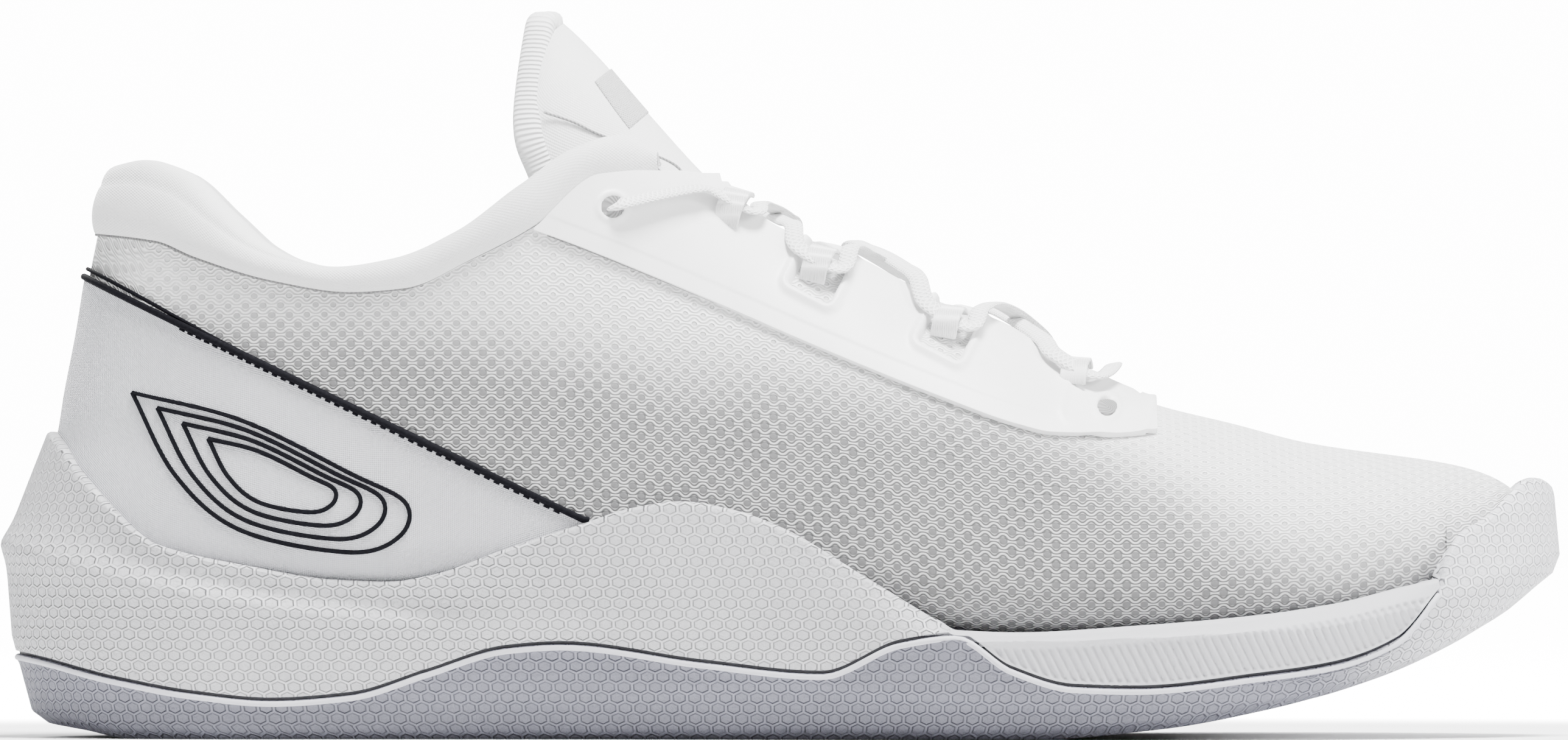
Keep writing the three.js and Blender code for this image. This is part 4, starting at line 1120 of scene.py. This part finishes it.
def make_collar():
    """The padded collar: jersey from the seam over the rolled top and down inside."""
    s = stations(0, 121, 240)
    grids = []
    for side in SIDES:
        station = s[:, None]
        end_taper = np.sqrt(np.clip(1 - (np.maximum(s - 114, 0) / 7.2) ** 2, 0, 1))
        pad = (collar_pad(s) + CAVITY_INSET) * (0.3 + 0.7 * end_taper)
        seam = turn_at(s, lambda x: np.minimum(seam_line(x), collar_top(x) - 1.5), 0.0, side)[:, None]
        peak = turn_at(s, collar_top, pad / 2, side)[:, None]
        foot = turn_at(s, collar_foot, 6.0, side)[:, None]
        share = np.linspace(0, 1, 22)[None, :]
        puff = 1.1 * np.sin(HALF_TURN * share) ** 0.7 - 0.9 * (1 - share) ** 6
        outer_turn = seam + (peak - seam) * share * (0.82 - 0.22 * smooth_step((60 - station) / 30))
        outer = np.stack(upper_at(station, outer_turn, -puff, side), -1)
        shoulder = outer_turn[:, -1:]
        roll = np.linspace(0, HALF_TURN, 18)[None, 1:-1]
        cap_turn = shoulder + (peak - shoulder) * np.sin(roll)
        cap_inset = pad[:, None] / 2 * (1 - np.cos(roll))
        cap = np.stack(upper_at(station, cap_turn, cap_inset, side), -1)
        down = np.linspace(0, 1, 20)[None, :]
        inner_turn = shoulder + (foot - shoulder) * down
        hollow = 1.2 * np.sin(HALF_TURN * down) ** 0.8 * collar_pad(s)[:, None] / 5.6
        inner = np.stack(upper_at(station, inner_turn, pad[:, None] + hollow, side), -1)
        grids.append(np.concatenate([outer, cap, inner], 1))
    jersey = jersey_material("collar_jersey", 0.76)
    piece = make_piece("collar_padding", grids, jersey, thickness=0.6, flip=MIRRORED)
    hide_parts("collar_cover", "collar_foam")
    # Painted shadow: a dark line in the seam under the collar.
    make_side_lines("collar_seam_shadow", lambda x: seam_line(x) - 0.1, (0, 111), 0.9, 0.26)


def make_side_lines(name, line, ends, inset, radius):
    """A fine dark line of painted shadow along a side-view line, on both sides of the shoe."""
    paths = [upper_on_line(stations(*ends, 160), line, inset, side) for side in SIDES]
    make_tubes(name, with_normals(paths), radius, 8, thread_and_shadow_material(name + "_thread", 0.14))


# ---------------------------------------------------------------- tongue

TONGUE_SPINE = smooth_path([(209, 0, 55), (197, 0, 60.5), (185, 0, 67), (168, 0, 76), (150, 0, 85.5),
                            (138, 0, 93.5), (128, 0, 102.5), (118, 0, 113.5), (109, 0, 124), (103, 0, 131)],
                           201)
tongue_half = curve([(0, 12), (0.2, 17), (0.45, 21.5), (0.6, 22), (0.85, 22), (0.93, 20.5), (1, 14)])
tongue_drop = curve([(0, 2), (0.15, 5), (0.4, 11), (0.6, 16), (0.8, 20.5), (0.92, 15.5), (1, 6)])
TONGUE_ARC = 1.25


def tongue_at(u, v, depth):
    """Points of the tongue: u from its sewn end to its tip, v from side to side, depth below its face."""
    def face(a, b):
        place = np.clip(a, 0, 1) * (len(TONGUE_SPINE) - 1)
        index = np.arange(len(TONGUE_SPINE))
        spine = np.stack([np.interp(place, index, TONGUE_SPINE[:, k]) for k in range(3)], -1)
        tangent = np.gradient(TONGUE_SPINE, axis=0)
        ahead = np.stack([np.interp(place, index, tangent[:, k]) for k in range(3)], -1)
        ahead /= np.linalg.norm(ahead, axis=-1)[..., None]
        inward = np.stack([-ahead[..., 2], 0 * place, ahead[..., 0]], -1)
        inward *= -np.sign(inward[..., 2:])
        bend = TONGUE_ARC * b
        across = tongue_half(a) * np.sin(bend) / math.sin(TONGUE_ARC)
        drop = tongue_drop(a) * (1 - np.cos(bend)) / (1 - math.cos(TONGUE_ARC))
        p = spine + inward * drop[..., None]
        p[..., 1] = centreline(spine[..., 0]) + across
        return p

    u, v = np.broadcast_arrays(np.asarray(u, float), np.asarray(v, float))
    step = 0.01
    along = face(np.minimum(u + step, 1), v) - face(np.maximum(u - step, 0), v)
    over = face(u, v + step) - face(u, v - step)
    normal = np.cross(along, over)
    normal /= np.linalg.norm(normal, axis=-1)[..., None]
    normal *= -np.sign(normal[..., 2:] + 1e-9)
    return face(u, v) + normal * np.asarray(depth)[..., None]


TONGUE_THICK = 5.8


def make_tongue():
    """The padded tongue: face, back, binding, label and seam."""
    u = np.linspace(0.0, 1.0, 110)[:, None]
    v = np.linspace(-1, 1, 60)[None, :]
    crown = (1 - np.abs(v) ** 6) * (1 - np.abs(2 * u - 1) ** 10)
    seam = np.exp(-((u - 0.60 - 0.10 * np.abs(v)) / 0.008) ** 2)
    front = tongue_at(u, v, 0.8 - 1.1 * crown + 0.5 * seam)
    back = tongue_at(u, v, TONGUE_THICK - 1.2 + 0.9 * crown)
    uv = np.stack(np.broadcast_arrays(u * 135, v * 30), -1)
    jersey = jersey_material("tongue_jersey", 0.80)
    cover = make_piece("tongue_padding", [front], jersey, body="tongue", thickness=1.2,
                       uvs=[uv], flip=[True])
    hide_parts("tongue_cover", "tongue_foam")
    lining = make_piece("tongue_back", [back], jersey_material("tongue_back_knit", 0.80), body="tongue",
                        thickness=1.2, uvs=[uv], flip=[False])
    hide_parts("tongue_lining")
    make_binding()
    make_label()
    make_tongue_seam()


def binding_path():
    """The binding's route: up one edge of the tongue, over its tip and down the other edge."""
    middle = TONGUE_THICK / 2
    offset = 1.9
    along = (0.5, 0.6, 0.7, 0.8, 0.87, 0.93)

    def beyond(edge, inner):
        return edge + (edge - inner) / np.linalg.norm(edge - inner) * offset

    def side_points(side):
        return [beyond(tongue_at(u, side, middle), tongue_at(u, side * 0.9, middle)) for u in along]

    tip = [beyond(tongue_at(1.0, v, middle), tongue_at(0.96, v, middle))
           for v in (-0.8, -0.4, 0, 0.4, 0.8)]
    return smooth_path(side_points(-1) + tip + side_points(1)[::-1], 260)


def make_binding():
    """The ribbed binding round the tongue's tip."""
    path = binding_path()
    away = path - np.array([100.0, 0.0, 100.0])
    piece = make_tubes("tongue_binding_rib", [(path, away)], 2.75, 16, rib_material("binding_rib", 0.86, 0.9),
                       body="tongue", flatten=2.2)
    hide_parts("tongue_binding")


def make_tongue_seam():
    """The seam across the tongue's side, where the padded top meets the lower part."""
    u, v = np.meshgrid(np.linspace(0.5, 1, 200), np.linspace(0, 1, 120), indexing="ij")
    route = [(98.9, 114), (104, 112.3), (109, 110), (116, 107.4), (122.6, 104.6), (125, 102)]
    count = 80
    paths = []
    for side in SIDES:
        face = tongue_at(u, side * v, np.full(u.shape, -0.4)).reshape(-1, 3)
        points = [face[np.argmin((face[:, 0] - x) ** 2 + (face[:, 2] - z) ** 2)] for x, z in route]
        paths.append((smooth_path(points, count), np.tile([0.0, side, 0.3], (count, 1))))
    make_tubes("tongue_seam", paths, 0.25, 8, thread_and_shadow_material("tongue_seam_thread", 0.3),
               body="tongue")


def make_label():
    """A plain grey patch in the place of the printed mark."""
    u = np.linspace(0.83, 0.91, 24)[:, None]
    v = np.linspace(-0.45, 0.45, 40)[None, :]
    grid = tongue_at(u, v, np.full((24, 40), -0.5))
    uv = np.stack(np.broadcast_arrays(u * 135, v * 30), -1)
    patch = make_piece("tongue_label_patch", [grid], braid_material("label_grey", 0.55, 0.7), body="tongue",
                       thickness=0.4, bevel=0.15, uvs=[uv], flip=[True])
    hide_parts("tongue_label")


# ---------------------------------------------------------------- lace and loops

LACE_STOPS = [(196, 66.8), (172.8, 76.0), (149.2, 86.6), (133.5, 97.0)]
LACE_WIDTH = 3.4
LACE_THICK = 1.0
LACE_LIFT = 1.2


def on_upper(x, z, side, lift):
    """A point of the upper's envelope in front of the heel's lean, raised outwards."""
    half = float(upper_half[side](x))
    middle = float(girth_line(x))
    height = float(top_line(x)) - middle
    reach = half * math.sqrt(max(1 - ((z - middle) / height) ** 2, 0))
    steep = np.array([0, reach / half ** 2, (z - middle) / height ** 2])
    steep /= np.linalg.norm(steep)
    return np.array([x, float(centreline(x)) + side * (reach + lift * steep[1]), z + lift * steep[2]])


def envelope_z(x, y):
    """The height of the upper's envelope over a place of the plan."""
    out = y - float(centreline(x))
    half = float(upper_half[-1 if out < 0 else 1](x))
    middle = float(girth_line(x))
    return middle + (float(top_line(x)) - middle) * math.sqrt(max(1 - (out / half) ** 2, 0))


def lace_half(side, height):
    """One half of the lace: from the front stop on one side, to and fro to the rear eyelet, and inside."""
    run = 4.2
    back, up = run * math.cos(THROAT_ANGLE), run * math.sin(THROAT_ANGLE)

    def stop(i, where, way):
        x, z = LACE_STOPS[i]
        return on_upper(x - way * back, z + way * up, where, LACE_LIFT)

    points = [stop(0, side, -1), stop(0, side, 1)]
    for i in range(1, len(LACE_STOPS)):
        landing = stop(i, -side, -1)
        leaving = points[-1]
        for t in (0.13, 0.3, 0.5, 0.7, 0.87):
            p = leaving * (1 - t) + landing * t
            arch = 1 - (2 * t - 1) ** 2
            p[2] = min(envelope_z(p[0], p[1]), float(throat_line(p[0]))) + LACE_LIFT + height * arch
            points.append(p)
        points += [landing, stop(i, -side, 1)]
        side = -side
    inside = -CAVITY_INSET - 1.6
    rear = [(126, 99.2, 1.6), (118, 97.9, 1.6), (113, 96.9, 1.2), (111.6, 96.7, -2),
            (111.8, 96, inside + 1.5), (113.6, 92.4, inside - 1.4), (117, 87, inside - 1)]
    tail = [(126, 76), (140, 66), (156, 58), (172, 52), (184, 48)]
    route = rear + [(x, z, inside - 0.4) for x, z in tail]
    return points + [on_upper(x, z, side, lift) for x, z, lift in route]


def make_lace():
    """The flat lace: its two halves meet in a bar over the vamp."""
    x = 203.0
    bar = np.array([x, float(centreline(x)), float(top_line(x)) + LACE_LIFT + 0.4])
    points = lace_half(-1, 0.3)[::-1] + [bar] + lace_half(1, 0.3 + LACE_THICK + 0.4)
    piece = make_tubes("lace_braid", with_normals([smooth_path(points, 900)]), LACE_WIDTH / 2, 14,
                       braid_material("lace_weave", 0.9, 1.0), flatten=LACE_THICK / 2)
    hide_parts("lace")


def make_loops():
    """Webbing loops over the lace, each an arched strap with its feet on the eyestay."""
    material = braid_material("loop_webbing", 0.88, 0.8)
    half_wide, reach, height = 2.4, 4.6, 2.5
    for side, word in SIDE_WORDS.items():
        for i, (x, z) in enumerate(LACE_STOPS):
            base = on_upper(x, z, side, 0.0)
            out = on_upper(x, z, side, 5.0) - base
            out /= np.linalg.norm(out)
            ahead = np.array([math.cos(THROAT_ANGLE), 0, -math.sin(THROAT_ANGLE)])
            ahead -= out * (ahead @ out)
            ahead /= np.linalg.norm(ahead)
            across = np.cross(out, ahead)
            t = np.linspace(-1, 1, 25)
            rise = height * (1 - np.abs(t) ** 2.6)
            line = base + across * (t * reach)[:, None] + out * (rise - 0.6 * np.abs(t) ** 3)[:, None]
            width = np.linspace(-half_wide, half_wide, 9)
            grid = line[:, None] + ahead * width[None, :, None]
            piece = make_piece(f"lace_loop_{word}_{i + 1}_strap", [grid], material,
                               thickness=0.7, bevel=0.15, flip=[True])
            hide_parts(f"lace_loop_{word}_{i + 1}")


# ---------------------------------------------------------------- inside

def make_sockliner():
    """The insole's face: it follows the cavity's floor and turns up at its rim."""
    s = stations(1.5, LENGTH - 2, 150)
    rim = lambda x: feather_line(x) + 6.1 + 3.6
    left, right = (upper_on_line(s, rim, CAVITY_INSET + 1.0, side) for side in SIDES)
    share = np.linspace(0, 1, 60)[None, :, None]
    grid = left[:, None] * (1 - share) + right[:, None] * share
    grid[..., 2] -= 1.2 * (1 - np.abs(2 * share[..., 0] - 1) ** 4)
    piece = make_piece("sockliner_cloth", [grid], jersey_material("sock_cloth", 0.72), body="sockliner",
                       thickness=2.6, smooth_angle=60)
    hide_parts("sockliner")


def dress_hidden_nodes():
    """Materials for the inner CAD nodes that stay as they are."""
    looks = {
        "strobel_board": plain_material("board_fibre", (0.72, 0.72, 0.68), 0.95),
        "heel_counter": plain_material("counter_sheet", (0.66, 0.66, 0.62), 0.6),
        "toe_puff": plain_material("puff_sheet", (0.66, 0.66, 0.62), 0.6),
    }
    for name, material in looks.items():
        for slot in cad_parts[name].material_slots:
            slot.material = material


make_camera()
make_studio()
make_outsole()
make_clip()
make_midsole()
make_parting()
make_mesh_upper()
make_lining()
make_heel_panel()
make_piping()
make_heel_trim()
make_eyestays()
make_collar()
make_tongue()
make_lace()
make_loops()
make_sockliner()
dress_hidden_nodes()
